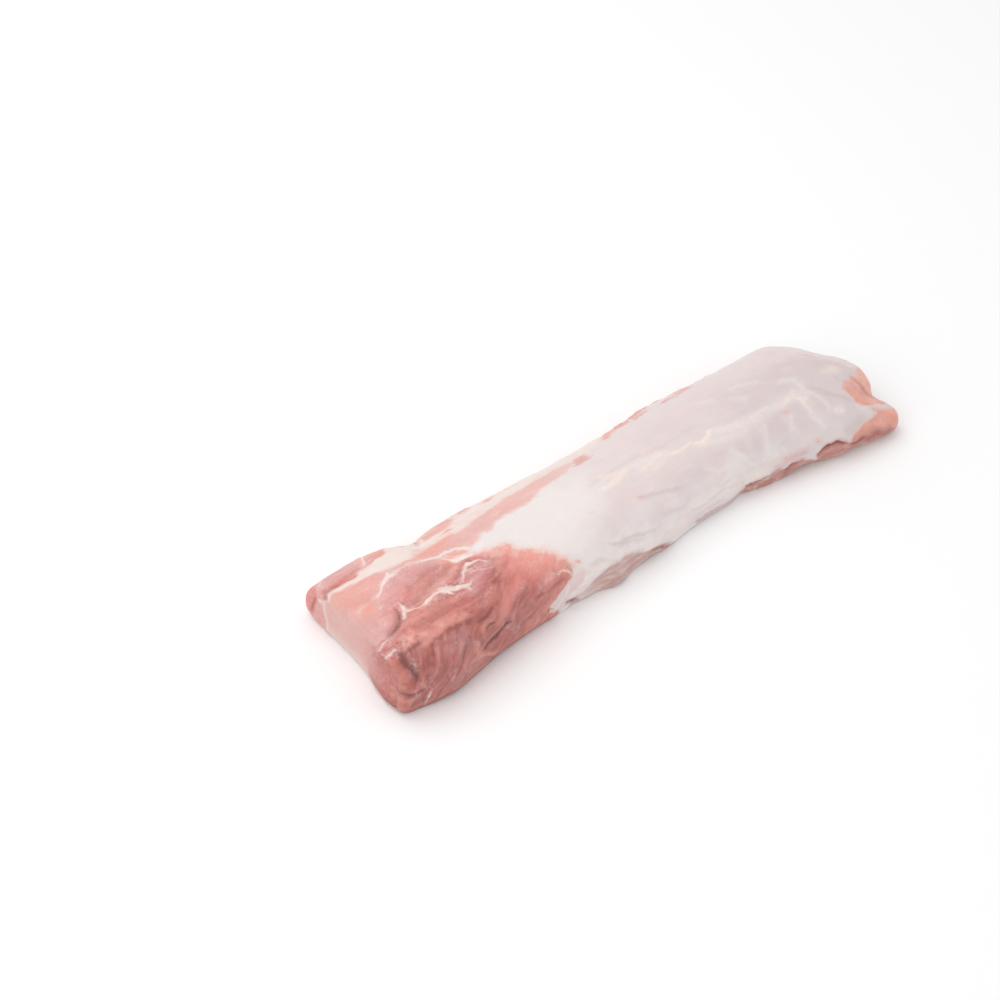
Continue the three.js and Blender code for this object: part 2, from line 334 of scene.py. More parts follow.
def depth_inside(outline):
    """How far inside a closed outline every place is, in millimetres, negative outside."""
    corners = rounded(outline)
    nearest = np.full(along_place.shape, 1e9)
    inside = np.zeros(along_place.shape, bool)
    for (ax, ar), (bx, br) in zip(corners, np.roll(corners, -1, 0)):
        nearest = np.minimum(nearest, segment_distance((ax, ar), (bx, br))[0])
        crosses = (ar > map_round) != (br > map_round)
        inside ^= crosses & (map_along < ax + (map_round - ar) * (bx - ax) / (br - ar + 1e-12))
    return np.where(inside, nearest, -nearest)


def depth_in_any(outlines):
    """How far inside the nearest of several outlines every place is."""
    return np.max([depth_inside(outline) for outline in outlines], axis=0)


def depth_in_line(line, across=map_round):
    """How far inside a line every place is. The line is a list of (distance, round, half width)."""
    depth = np.full(along_place.shape, -1e9)
    for (ax, ar, aw), (bx, br, bw) in zip(line, line[1:]):
        away, t = segment_distance((ax, ar), (bx, br), across)
        depth = np.maximum(depth, aw + (bw - aw) * t - away)
    return depth


def depth_in_lines(lines):
    """How far inside the nearest of several lines every place is."""
    return np.max([depth_in_line(line) for line in lines], axis=0)


maps = {
    "cap": depth_inside(CAP),
    "middle_muscle": depth_inside(MIDDLE_MUSCLE),
    "bare_eye": depth_inside(BARE_EYE),
    "cream_fat": depth_inside(CREAM_FAT),
    "chain": depth_inside(CHAIN),
    "chain_strip": depth_inside(CHAIN_STRIP),
    "side_lens": depth_inside(SIDE_LENS),
    "back_lean": depth_in_any(BACK_LEAN),
    "rib_raw": depth_in_any(RIB_RAW),
    "fascia": depth_inside(FASCIA),
    "membrane": depth_inside(MEMBRANE),
}


# ---- The underside ------------------------------------------------------------------------
# The ribs were cut away here. The eye muscle lies bare and pale down the middle, with a thin fat
# seam beside the chain. Along the front lies red meat under a web of white fascia, with a red and
# a lilac finger where each rib was.

# Places here are counted across from the middle of the underside, positive towards the back.
RIB_SPACING = 31.0
FIRST_RIB = 92.0
RIBS = 14
UNDERSIDE_FROM = 124
UNDERSIDE_FADE = 5
DEEP_INSIDE = 40
FAR_OUTSIDE = 60

scallops = np.abs(np.sin((along_place - FIRST_RIB) * math.pi / RIB_SPACING))
belly_edge = -35 + 6 * scallops + 3 * np.sin(along_place / 53)
belly_edge += 7 * lumps(surface, 34, 41.3)
belly_back = 29 + 3 * np.sin(along_place / 41) + 4 * lumps(surface, 22, 47.9)
maps["belly_eye"] = np.minimum(belly_place - belly_edge, belly_back - belly_place)
maps["belly_rim"] = np.minimum(belly_edge - belly_place, belly_place + 62)
maps["belly_fat"] = 1.2 + 5 * lumps(surface, 28, 52.1) - np.abs(belly_place - belly_back - 3)
maps["belly_cap"] = np.minimum(72 - along_place - 0.5 * belly_place, -26 - belly_place)
red_fingers, lilac_fingers = [], []
for k in range(RIBS):
    at = FIRST_RIB + k * RIB_SPACING + 7 * math.sin(2.4 * k)
    long = 13 + 9 * math.sin(1.7 * k + 1)
    thick = 3.2 + 1.8 * math.sin(3.1 * k)
    red_fingers.append([
        (at, -38, thick * 0.6), (at + 5, -42 - long * 0.6, thick + 1), (at + 3, -44 - long, thick)])
    lilac_fingers.append([(at + 16, -34, 4), (at + 19, -50 - 0.3 * long, 8), (at + 14, -64, 5)])
maps["red_finger"] = np.max([depth_in_line(line, map_belly) for line in red_fingers], axis=0)
maps["lilac_finger"] = np.max([depth_in_line(line, map_belly) for line in lilac_fingers], axis=0)
below = ease((np.abs(round_place) - UNDERSIDE_FROM) / UNDERSIDE_FADE)
for name in ("belly_eye", "belly_rim", "belly_fat", "belly_cap", "red_finger", "lilac_finger"):
    maps[name] = np.minimum(maps[name], DEEP_INSIDE) - FAR_OUTSIDE * (1 - below)


# ---- Fat threads, cords and gaps ----------------------------------------------------------
# White fat fills the seams between the muscles, and cords of connective tissue stand up on the
# silverskin. Gaps open where two muscles were pulled apart; they are sunk in and coloured dark
# brown as painted shade.

# Each is a line of (distance, round, half width).
FAT_THREADS = [
    [(32, 27, 0.8), (36, 22, 1.5), (41, 17, 1.9), (42, 8, 0.6)],
    [(40, 19, 1.4), (48, 21, 1.0), (54, 24, 1.1), (61, 26, 1.7), (72, 25, 2.2), (84, 28, 4.0),
     (95, 28, 2.8), (104, 29, 1.9), (109, 26, 0.6)],
    [(80, 26, 3.0), (85, 35, 1.4)], [(84, 26, 1.6), (87, 19, 0.7)],
    [(72, 23, 1.0), (82, 22, 1.5), (90, 24, 0.6)], [(99, 29, 1.2), (100, 35, 0.6)],
    [(98, 23, 0.5), (103, 19, 1.2), (108, 14, 1.8), (116, 10, 2.0), (123, 13, 1.6), (129, 18, 1.0),
     (134, 24, 0.4)],
    [(112, 16, 0.8), (116, 21, 0.6), (124, 28, 0.7), (134, 35, 0.4)], [(113, 14, 0.9), (118, 19, 0.4)],
    [(31, -8, 0.7), (38, -13, 1.3), (45, -18, 1.9), (52, -23, 2.6), (56, -26, 1.8)],
    [(54, -22, 1.8), (62, -19, 0.6)],
    [(76, -17, 0.5), (88, -19, 1.0), (94, -23, 1.5), (102, -24, 1.2), (111, -22, 1.6), (119, -16, 1.6),
     (126, -8, 1.6), (131, -2, 2.4)],
    [(105, -18, 0.7), (108, -12, 1.2), (111, -5, 1.7), (118, 0, 1.8), (128, 4, 2.2)],
    [(181, 77, 0.5), (188, 77, 0.9), (194, 81, 1.1), (199, 90, 1.2), (197, 96, 0.9)],
    [(192, 98, 1.2), (190, 108, 1.4), (186, 114, 1.2)],
    [(170, 118, 1.6), (178, 122, 2.2), (184, 112, 1.4)], [(8, 79, 0.8), (12, 73, 0.5)],
    [(19, 120, 0.8), (22, 108, 0.9), (24, 102, 0.3)], [(0, 57, 1.6), (5, 56, 1.2)],
    [(-1, 46, 0.9), (5, 43, 0.8), (10, 41, 0.4)],
    [(45, -52, 0.6), (54, -58, 1.6), (58, -70, 1.8), (56, -84, 1.2)], [(2, -60, 0.6), (8, -64, 0.9)]]
SKIN_CORDS = [
    [(204, 104, 0.8), (218, 98, 1.3), (232, 92, 1.6), (246, 86, 1.6), (258, 87, 1.5), (272, 94, 1.2),
     (292, 100, 1.0), (316, 108, 0.5)],
    [(278, 15, 0.6), (288, 14, 1.0), (298, 12, 0.9), (308, 9, 0.5)],
    [(280, 19, 0.4), (294, 17, 0.8), (304, 13, 0.5)],
    [(322, 22, 0.6), (334, 20, 1.3), (348, 18, 1.5), (354, 22, 1.0), (366, 28, 1.0), (376, 30, 1.2),
     (386, 27, 0.9)],
    [(384, 31, 0.7), (392, 35, 1.5), (401, 34, 1.7), (406, 30, 1.5), (411, 26, 0.9)],
    [(412, 28, 0.5), (430, 31, 0.8), (455, 27, 0.9), (480, 24, 0.6)],
    [(492, 32, 0.5), (506, 29, 0.9), (514, 32, 1.8)], [(324, 98, 0.6), (331, 104, 0.9), (340, 108, 0.5)],
    [(420, 100, 0.5), (440, 90, 0.8), (452, 80, 0.9), (462, 78, 0.6)]]
GAPS = [
    [(84, 97, 1.6), (93, 92, 3.8), (104, 87, 3.4), (114, 85, 2.0), (120, 88, 0.6)],
    [(11, 38, 0.8), (19, 34, 1.8), (27, 29, 1.8), (33, 20, 1.2), (36, 12, 0.5)],
    [(7, 61, 1.4), (7, 70, 3.2), (9, 80, 3.0), (10, 88, 1.0)],
    [(9, 64, 1.0), (20, 59, 0.8), (27, 57, 0.4)], [(-2, 99, 0.5), (4, 103, 1.0), (16, 102, 0.5)],
    [(86, 70, 0.5), (96, 67, 0.9), (104, 62, 0.5)], [(88, 78, 0.5), (98, 72, 0.8)],
    [(192, 121, 0.6), (197, 126, 1.2), (206, 131, 1.0)],
    [(292, 115, 0.6), (304, 118, 1.0), (314, 122, 0.8)],
    [(508, 99, 0.8), (514, 94, 1.6), (524, 94, 1.6), (533, 97, 0.8)],
    [(426, 112, 0.6), (432, 106, 1.3), (444, 104, 1.2), (452, 100, 1.0)],
    [(468, 104, 0.8), (476, 98, 1.4), (486, 98, 0.7)],
    [(541, 103, 0.8), (549, 104, 1.6), (556, 101, 0.8)]]

maps["fat_thread"] = depth_in_lines(FAT_THREADS)
maps["skin_cord"] = depth_in_lines(SKIN_CORDS)
maps["gap"] = depth_in_lines(GAPS)


# ---- Soft tones ---------------------------------------------------------------------------
# Muscle changes hue where it is thin, wet or filmed with fat: orange where it is thin, pale where
# fat or film lies on it, darker red in places. Painted light and shade are laid in with them:
# painted shade in the creases, painted highlight on ridges, painted glints, and grey painted shade
# along the silverskin's wrinkles. Silverskin has lilac and white places.

# Each tone is a list of soft strokes: a strength, and a line of (distance, round, half width).
TONES = {
    # Orange where the meat is thin, and painted highlight where ridges catch the light.
    "orange_and_ridge_light": [
        (1.0, [(12, 1, 2.2), (18, -2, 2.6), (24, -6, 1.2)]),
        (0.5, [(4, -38, 4), (7, -20, 5), (9, -8, 3)]), (0.8, [(54, -80, 3), (54, -66, 4), (49, -56, 3)]),
        (0.7, [(66, -74, 4), (71, -58, 3)]), (0.5, [(95, -38, 2), (97, -48, 1.5)]),
        (0.8, [(92, -33, 2), (104, -37, 4), (120, -36, 3.5), (132, -33, 2)]),
        (0.6, [(118, -62, 3), (134, -52, 4), (150, -60, 3)]),
        (0.8, [(103, -16, 3), (106, -9, 4), (104, -5, 2)]),
        (0.9, [(113, -13, 2.5), (120, -9, 3), (126, -4, 2)]),
        (0.5, [(20, 34, 2), (32, 34, 3), (46, 32, 3)]), (0.7, [(54, 27, 1.5), (62, 29, 1.5)]),
        (0.9, [(2, 109, 3), (6, 110, 4)]), (0.55, [(0, 59, 2), (1, 68, 3), (0, 80, 2)]),
        (0.8, [(10, 63, 3), (18, 58, 3), (27, 49, 3.5), (30, 42, 2)]),
        (0.7, [(28, 61, 1.5), (42, 58, 3), (56, 56, 3), (66, 59, 3), (80, 61, 2.5)]),
        (0.8, [(70, 56, 1.6), (73, 62, 2)]), (1.0, [(74, 88, 2), (76, 97, 3.5), (78, 102, 4)]),
        (0.8, [(76, 100, 3), (88, 108, 2), (96, 112, 1)]),
        (0.8, [(84, 78, 1), (92, 73, 1.5), (100, 67, 1.5), (106, 64, 1)]),
        (0.6, [(64, 98, 1.5), (72, 99, 2)]),
        (0.6, [(100, 76, 2), (112, 73, 2), (118, 80, 1.5), (124, 92, 1)]),
        (0.9, [(150, 20, 3), (158, 25, 5), (160, 34, 4)]), (0.9, [(163, 38, 5), (172, 44, 4)]),
        (0.9, [(172, 48, 5), (182, 55, 5), (185, 64, 5)]),
        (0.8, [(184, 70, 3), (194, 72, 5), (198, 80, 3)]),
        (0.8, [(158, 48, 5), (165, 58, 8), (172, 68, 6)]), (0.9, [(140, 34, 3), (143, 34, 2)]),
        (0.8, [(145, 45, 1), (148, 47, 2)]),
        (0.5, [(136, 104, 3), (148, 116, 6), (160, 108, 6), (172, 98, 5)]),
        (1.0, [(206, 76, 0.5), (208, 77, 0.8)]), (0.2, [(208, 91, 2), (206, 100, 2)]),
        (0.5, [(300, 44, 0.4), (302, 45, 0.6)]), (0.15, [(535, -59, 3), (542, -46, 3)]),
        (0.6, [(567, -34, 1.4), (569, -32, 1.6)]), (0.2, [(577, -14, 2), (585, -27, 2)]),
        (0.5, [(505, 83, 1), (507, 85, 1.2)]), (0.4, [(466, 85, 1), (468, 85, 1.4)]),
        (0.4, [(490, 38, 1), (492, 38, 1)]), (0.15, [(248, 30, 0.6), (250, 31, 0.8)]),
        (0.9, [(334, -56, 3), (342, -70, 5), (346, -80, 4)]), (0.6, [(374, -58, 2), (378, -66, 2)]),
        (0.1, [(532, -56, 4), (538, -46, 4)]), (0.9, [(574, 40, 4), (572, 52, 4)]),
        (1.0, [(580, 64, 3), (590, 62, 5), (593, 76, 4)]),
        (0.6, [(548, 93, 4), (562, 88, 5), (574, 82, 4)])],
    # Darker red meat in places, and painted shade in the creases, folds and pits.
    "dark_and_shade": [
        (0.25, [(109, -84, 1), (107, -68, 1.4), (104, -60, 1)]),
        (0.6, [(-2, -51, 1.4), (8, -50, 2), (15, -51, 1.4)]),
        (0.35, [(12, -52, 1), (28, -53, 1.4), (44, -56, 1)]),
        (0.3, [(14, -70, 3), (30, -70, 4), (44, -68, 3)]),
        (0.5, [(44, 12, 2), (56, 17, 4), (72, 13, 4), (88, 6, 3), (103, -5, 1.5)]),
        (0.6, [(53, 18, 3), (57, 17, 3)]), (0.5, [(60, 2, 2), (80, 0, 3), (96, -8, 2)]),
        (0.6, [(100, 14, 3), (106, 9, 2.5)]),
        (0.65, [(11, 38, 1.5), (20, 32, 2.6), (28, 26, 2.6), (34, 16, 2)]),
        (0.5, [(60, 31, 1), (72, 33, 2), (80, 33, 1)]),
        (0.35, [(30, 66, 1.2), (42, 61, 1.6), (54, 60, 1.8), (68, 65, 1.6), (82, 66, 1.2)]),
        (0.5, [(42, 40, 3), (60, 42, 3), (78, 43, 3)]),
        (1.0, [(7, 61, 2), (7, 71, 4.4), (9, 82, 3.6), (10, 88, 2)]),
        (0.6, [(9, 64, 1.6), (20, 59, 1.4), (27, 57, 1)]),
        (0.8, [(-2, 99, 1.6), (4, 103, 2.2), (16, 102, 1.6)]), (0.5, [(8, 118, 3), (14, 112, 4)]),
        (0.5, [(17, 110, 2), (21, 96, 2)]), (0.6, [(14, 80, 2), (22, 76, 1.6), (30, 70, 1)]),
        (0.5, [(24, 90, 3), (34, 92, 4), (40, 86, 3)]),
        (0.6, [(98, 47, 3), (108, 44, 3), (118, 39, 2.5), (130, 39, 2)]),
        (0.6, [(90, 23, 2), (95, 23, 2)]), (0.6, [(86, 71, 1), (98, 66, 1.4), (112, 62, 1)]),
        (0.4, [(118, 46, 2), (124, 46, 3)]), (0.35, [(142, 43, 1), (146, 38, 1.4)]),
        (0.6, [(112, 79, 1.5), (128, 76, 2), (144, 74, 1.4)]),
        (0.35, [(152, 83, 2), (168, 84, 2.4), (186, 83, 1.6)]), (0.5, [(128, 91, 4), (138, 93, 5)]),
        (0.4, [(140, 102, 3), (152, 98, 3)]), (0.4, [(122, 108, 2), (136, 104, 3)]),
        (0.4, [(56, 84, 2), (66, 80, 3)]), (0.8, [(84, 97, 3), (94, 91, 5), (106, 86, 5), (116, 84, 3)]),
        (0.6, [(80, 88, 2), (86, 92, 2)]),
        (0.3, [(428, 118, 3), (450, 114, 3), (474, 110, 3), (500, 111, 3)]),
        (0.4, [(508, 107, 3), (528, 108, 3), (550, 115, 3)]), (0.25, [(112, 8, 2), (115, 6, 2)]),
        (0.3, [(248, 107, 1.4), (250, 112, 2), (242, 119, 2)]),
        (0.7, [(290, 112, 2), (304, 115, 3), (316, 122, 2)]), (0.9, [(193, 121, 1.5), (200, 128, 2.5)]),
        (0.5, [(360, 120, 1.2), (384, 121, 1.4), (420, 121, 1.4)]),
        (0.8, [(426, 113, 2), (434, 107, 2.4), (446, 103, 2)]), (0.7, [(450, 102, 2), (460, 98, 2)]),
        (0.8, [(469, 108, 2), (476, 99, 2.4), (486, 98, 1.5)]),
        (1.0, [(507, 100, 1.2), (514, 94, 2), (524, 94, 2), (534, 97, 1)]),
        (0.7, [(544, 106, 3), (556, 100, 3)]),
        (0.8, [(558, 106, 3), (570, 97, 4), (582, 96, 4), (589, 84, 3)]),
        (0.5, [(586, 12, 4), (592, 20, 3)])],
    "raw": [
        (0.5, [(-2, -64, 4), (1, -76, 6), (0, -92, 8)]), (0.9, [(1, 60, 2), (2, 69, 3.4), (0, 79, 3)]),
        (0.35, [(4, 84, 4), (10, 96, 5), (16, 104, 4)]),
        (0.7, [(14, -51, 0.8), (25, -49, 1.4), (36, -48, 0.8)])],
    "shade": [
        (0.8, [(249, 70, 0.6), (264, 76, 1), (280, 80, 1), (298, 84, 0.6)]),
        (0.6, [(256, 74, 0.5), (270, 82, 0.8), (284, 87, 0.6)]),
        (0.5, [(300, 46, 0.6), (314, 50, 1), (328, 56, 1), (343, 62, 0.6)]),
        (0.4, [(314, 73, 0.6), (330, 80, 0.8), (340, 84, 0.6)]),
        (0.6, [(353, 97, 0.8), (369, 99, 1), (386, 94, 1), (399, 95, 0.8), (418, 99, 0.8)]),
        (0.6, [(360, 108, 0.8), (375, 108, 1), (392, 110, 0.8)]),
        (0.6, [(220, 86, 0.8), (239, 87, 1), (263, 92, 1), (283, 100, 0.8)]),
        (0.7, [(531, 21, 0.8), (543, 38, 1.2), (561, 53, 0.8)]),
        (0.5, [(191, 73, 0.8), (204, 83, 1), (218, 95, 0.8)]), (0.5, [(447, 86, 0.8), (464, 80, 1)]),
        (0.4, [(391, 88, 0.6), (402, 86, 1)]), (0.5, [(563, -8, 0.8), (566, 13, 1), (567, 35, 1)]),
        (0.4, [(268, 4, 0.5), (300, 0, 0.8), (330, 2, 0.5)]),
        (0.4, [(340, 8, 0.5), (372, 12, 0.8), (404, 12, 0.5)]),
        (1.0, [(540, 84, 3), (550, 80, 4), (560, 74, 3)])],
    "rim": [
        (0.6, [(166, 48, 8), (180, 62, 8), (190, 72, 6)]),
        (0.5, [(142, 46, 8), (160, 62, 8), (176, 72, 6)]),
        (0.7, [(126, 6, 2), (136, 14, 3), (147, 21, 4)]),
        (0.9, [(147, 22, 4), (160, 30, 6), (167, 40, 7)]),
        (1.0, [(166, 40, 7), (176, 50, 8), (182, 60, 8)]), (0.8, [(182, 60, 6), (188, 70, 5)]),
        (0.6, [(150, 38, 8), (160, 52, 10)]), (0.5, [(114, 70, 6), (128, 67, 8), (142, 63, 8)])],
    "mauve": [
        (0.7, [(46, -11, 5), (62, -13, 7), (80, -11, 6), (94, -9, 3)]), (0.5, [(24, 0, 3), (36, 4, 5)]),
        (0.7, [(98, 17, 2), (108, 11, 3)]), (0.8, [(106, 24, 4), (120, 27, 7), (134, 27, 5)]),
        (0.7, [(92, 39, 3), (102, 36, 5), (112, 34, 3)]), (0.6, [(0, 78, 2), (8, 76, 2.5)]),
        (0.3, [(14, -62, 5), (34, -61, 6), (50, -62, 4)]),
        (0.4, [(98, -28, 3), (116, -25, 5), (136, -16, 7), (160, -18, 6)]),
        (0.5, [(160, 78, 3), (176, 76, 4)]), (0.35, [(60, 106, 5), (84, 110, 5)]),
        (0.8, [(90, 92, 3), (104, 87, 4), (114, 84, 3)]), (0.75, [(4, 14, 5), (8, 24, 7), (13, 32, 6)]),
        (0.6, [(456, 92, 3), (473, 88, 4), (490, 88, 3)]), (0.3, [(198, 106, 4), (206, 112, 4)]),
        (0.5, [(40, 72, 4), (56, 72, 5), (70, 74, 4)]), (0.4, [(36, 110, 5), (52, 106, 6)]),
        (0.15, [(564, -2, 3), (568, -16, 4)]), (0.5, [(576, 24, 3), (584, 40, 3)])],
    # Pale fat and film, and painted glints on the wet meat.
    "pale_and_glint": [
        (1.0, [(8, -64, 1), (15, -74, 2.4), (22, -84, 2)]), (0.6, [(2, -57, 1), (6, -58, 1.6)]),
        (0.5, [(28, -66, 2), (50, -68, 3)]), (0.7, [(50, -54, 1.4), (52, -44, 1.4)]),
        (0.6, [(-2, -46, 2), (4, -44, 1.5)]), (0.8, [(8, -3, 1), (13, -6, 1.4), (17, -7, 0.8)]),
        (0.8, [(22, 5, 1.2), (27, 1, 1.8)]), (0.5, [(15, 20, 0.8), (19, 13, 1)]),
        (0.6, [(14, 25, 1.2), (18, 21, 1.2)]), (0.4, [(6, 24, 2), (9, 28, 2)]),
        (0.4, [(30, 12, 1), (34, 8, 1.4)]), (0.7, [(45, -13, 0.8), (49, -14, 1)]),
        (0.6, [(65, 0, 0.8), (71, -1, 1.6)]), (0.5, [(60, -11, 1), (62, -10, 1.4)]),
        (0.6, [(74, -17, 1), (86, -17, 1.6)]), (0.6, [(176, -22, 1.2), (183, -23, 1.6)]),
        (0.6, [(9, 52, 2), (14, 54, 3), (18, 48, 2)]), (0.5, [(20, 46, 2), (23, 52, 2)]),
        (0.9, [(-2, 57, 2), (4, 56, 2)]), (0.6, [(-2, 46, 1.4), (10, 41, 1)]),
        (0.5, [(32, 48, 1), (37, 51, 1.8)]), (0.4, [(49, 46, 1.6), (55, 50, 2)]),
        (0.6, [(7, 80, 1), (11, 73, 1)]), (0.5, [(15, 94, 2), (17, 99, 1.4)]),
        (0.6, [(8, 100, 1.4), (11, 106, 1)]), (0.5, [(23, 90, 1), (31, 81, 1)]),
        (0.35, [(56, 77, 2), (66, 78, 1.4)]), (0.5, [(64, 30, 2), (72, 31, 3), (80, 32, 1.4)]),
        (0.7, [(134, 26, 1), (138, 30, 1.4)]), (0.6, [(163, 54, 1.4), (167, 55, 1.8)]),
        (0.5, [(138, 19, 1.4), (147, 27, 1.4)]), (0.5, [(160, 78, 1), (176, 74, 1), (190, 77, 1)]),
        (0.5, [(97, 56, 1), (108, 49, 1.2), (116, 46, 1)]),
        (0.5, [(10, 40, 0.8), (20, 35, 0.8), (26, 31, 0.6)]), (0.6, [(100, -19, 0.8), (95, -5, 1)]),
        (0.4, [(128, 70, 1), (146, 68, 1.6)]), (0.5, [(112, 88, 0.7), (120, 100, 0.8), (128, 114, 0.8)]),
        (0.4, [(120, 92, 0.6), (130, 108, 0.6)]), (0.5, [(40, 100, 0.7), (46, 92, 0.7)]),
        (0.4, [(64, 84, 0.7), (72, 82, 0.8), (77, 88, 0.6)]), (0.4, [(46, 74, 0.7), (58, 70, 0.7)]),
        (0.5, [(12, -44, 2), (24, -43, 3), (36, -42, 2)])],
    "cream": [
        (0.5, [(383, 96, 1.6), (405, 98, 2), (427, 94, 1.6)]), (0.6, [(391, 84, 0.8), (402, 82, 1.2)]),
        (0.5, [(315, 105, 1.4), (328, 102, 2), (343, 107, 1.4)]),
        (0.4, [(353, 92, 1), (369, 94, 1.4), (386, 90, 1.2), (399, 91, 1)]),
        (0.8, [(277, 17, 1.4), (290, 16, 2), (302, 12, 2.4), (309, 9, 1)]),
        (0.5, [(286, 1, 1.6), (296, 7, 3), (304, 9, 2)]),
        (0.5, [(322, 22, 2), (334, 21, 3.4), (350, 18, 2.6)]),
        (0.4, [(332, 28, 1.6), (346, 26, 2.4), (356, 24, 2)]),
        (0.7, [(360, 25, 1.4), (370, 30, 1.6), (384, 27, 1.4)]),
        (1.0, [(385, 32, 1), (394, 35, 1.8), (403, 33, 2), (410, 27, 1.2)]),
        (0.4, [(229, 13, 1.4), (236, 12, 1.6)]), (0.3, [(222, 22, 3), (230, 21, 3)]),
        (0.9, [(514, 33, 2), (517, 35, 2)]), (0.4, [(492, 31, 1.4), (504, 29, 2)]),
        (0.3, [(530, -11, 2), (535, -12, 2)]), (0.3, [(535, -26, 2), (539, -27, 2)]),
        (0.5, [(562, 8, 2), (570, 0, 4), (576, -8, 2)]),
        (0.5, [(328, 101, 1.4), (336, 106, 2), (342, 109, 1.4)]), (0.5, [(338, 98, 1), (342, 102, 1)]),
        (0.3, [(368, 102, 2), (378, 100, 2)]), (0.3, [(428, 104, 2), (434, 92, 2)]),
        (0.4, [(438, 96, 4), (450, 90, 5), (462, 80, 3)]), (0.3, [(410, 112, 4), (424, 104, 4)]),
        (0.3, [(470, 82, 3), (500, 80, 3)]), (0.25, [(512, 24, 4), (520, 40, 4)]),
        (0.3, [(204, 84, 4), (214, 88, 4)])],
    "veil": [
        (0.6, [(381, 61, 1), (391, 71, 1.4), (404, 72, 1)]),
        (0.5, [(342, 73, 1), (333, 71, 1.2), (321, 68, 1)]),
        (0.5, [(379, 72, 1), (370, 72, 1.4), (358, 71, 1)]),
        (0.6, [(414, 58, 1), (424, 71, 1.4), (430, 82, 1)]),
        (0.7, [(514, 37, 1), (512, 57, 1.4), (517, 71, 1)]), (0.6, [(492, 45, 1), (484, 61, 1.2)]),
        (0.6, [(461, 41, 1), (452, 67, 1.4), (444, 81, 1)]),
        (0.6, [(390, 36, 3), (425, 46, 3), (453, 33, 4), (480, 27, 4), (512, 24, 3)]),
        (0.7, [(220, 80, 1.6), (239, 81, 2.4), (263, 86, 2), (283, 94, 1.4)]),
        (0.6, [(513, 1, 2), (526, 6, 3), (526, 21, 3)]),
        (0.5, [(465, -20, 2), (478, -20, 2.4), (494, -14, 2)]),
        (0.6, [(528, 30, 1), (534, 44, 1), (532, 58, 1)]),
        (0.8, [(411, 29, 2), (424, 35, 4), (440, 33, 4), (456, 28, 3.6), (478, 23, 2)]),
        (0.6, [(356, 18, 2), (332, 13, 2.4), (312, 8, 2)]),
        (0.35, [(456, 42, 1), (454, 60, 1.6), (452, 76, 1)]), (0.5, [(468, 74, 1), (470, 86, 1.8)]),
        (0.45, [(514, 44, 1), (516, 72, 1.4)]), (0.9, [(539, 60, 2), (543, 60, 3)]),
        (0.5, [(514, 20, 3), (522, 28, 4)]), (0.4, [(430, -16, 2), (440, -14, 3)]),
        (0.4, [(458, -6, 3), (466, 0, 3)]), (0.4, [(388, 100, 2), (396, 96, 2)]),
        (0.5, [(566, 62, 3), (578, 54, 3), (588, 44, 2)]), (0.5, [(560, 72, 3), (548, 80, 4)]),
        (0.3, [(385, 60, 2), (384, 76, 2)]), (0.3, [(420, 52, 1.4), (418, 74, 1.4)]),
        (0.3, [(436, 50, 1.4), (436, 72, 1.4)]), (0.3, [(486, 44, 1.4), (488, 66, 1.4)])],
    "lilac": [
        (0.8, [(536, 15, 6), (553, 18, 6)]), (0.8, [(466, 49, 5), (483, 53, 5)]),
        (0.8, [(497, 59, 5), (508, 61, 4)]), (0.7, [(428, 62, 5), (442, 60, 5)]),
        (0.5, [(411, 55, 4), (392, 52, 5)]), (0.5, [(376, 58, 4), (360, 56, 5)]),
        (0.4, [(448, 0, 7), (480, 8, 6)]), (0.5, [(528, 50, 5), (536, 62, 4)]),
        (0.6, [(548, 30, 9), (552, 6, 10), (560, -12, 8)]), (0.5, [(536, 40, 7), (552, 56, 9)]),
        (0.35, [(500, 58, 10), (506, 66, 8)]), (0.35, [(468, 52, 9), (476, 60, 9)]),
        (0.5, [(474, 90, 4), (490, 89, 4)]), (0.3, [(420, 58, 10), (440, 66, 10)]),
        (0.3, [(360, -10, 16), (400, 4, 16)]), (0.3, [(250, 60, 12), (330, 70, 12), (390, 56, 12)])],
}


def tone_strength(strokes):
    """The strongest stroke at every place, each fading softly away from its middle line."""
    strongest = np.zeros(along_place.shape)
    for strength, line in strokes:
        for (ax, ar, aw), (bx, br, bw) in zip(line, line[1:]):
            away, t = segment_distance((ax, ar), (bx, br))
            width = 1.15 * (aw + (bw - aw) * t) + 1.5
            strongest = np.maximum(strongest, strength * np.exp(-((away / width) ** 2)))
    return strongest


tones = {name: tone_strength(strokes) for name, strokes in TONES.items()}
# Where the cap thins out over the silverskin, where its fibres slant, the loose tissue around the
# fat threads, and how white the silverskin is.
tones["rim_fade"] = ease((along_place - 122) / 20) * ease((84 - round_place) / 14)
tones["slanted"] = ease((round_place - 50 + 42 * ease((along_place - 112) / 30)) / 14)
tones["tissue"] = hump(np.minimum(maps["fat_thread"], 0), 0, 5) * ease((170 - along_place) / 20)
tones["whiteness"] = 0.75 * ease((430 - along_place) / 300) + 0.45 * ease((round_place - 36) / 40)


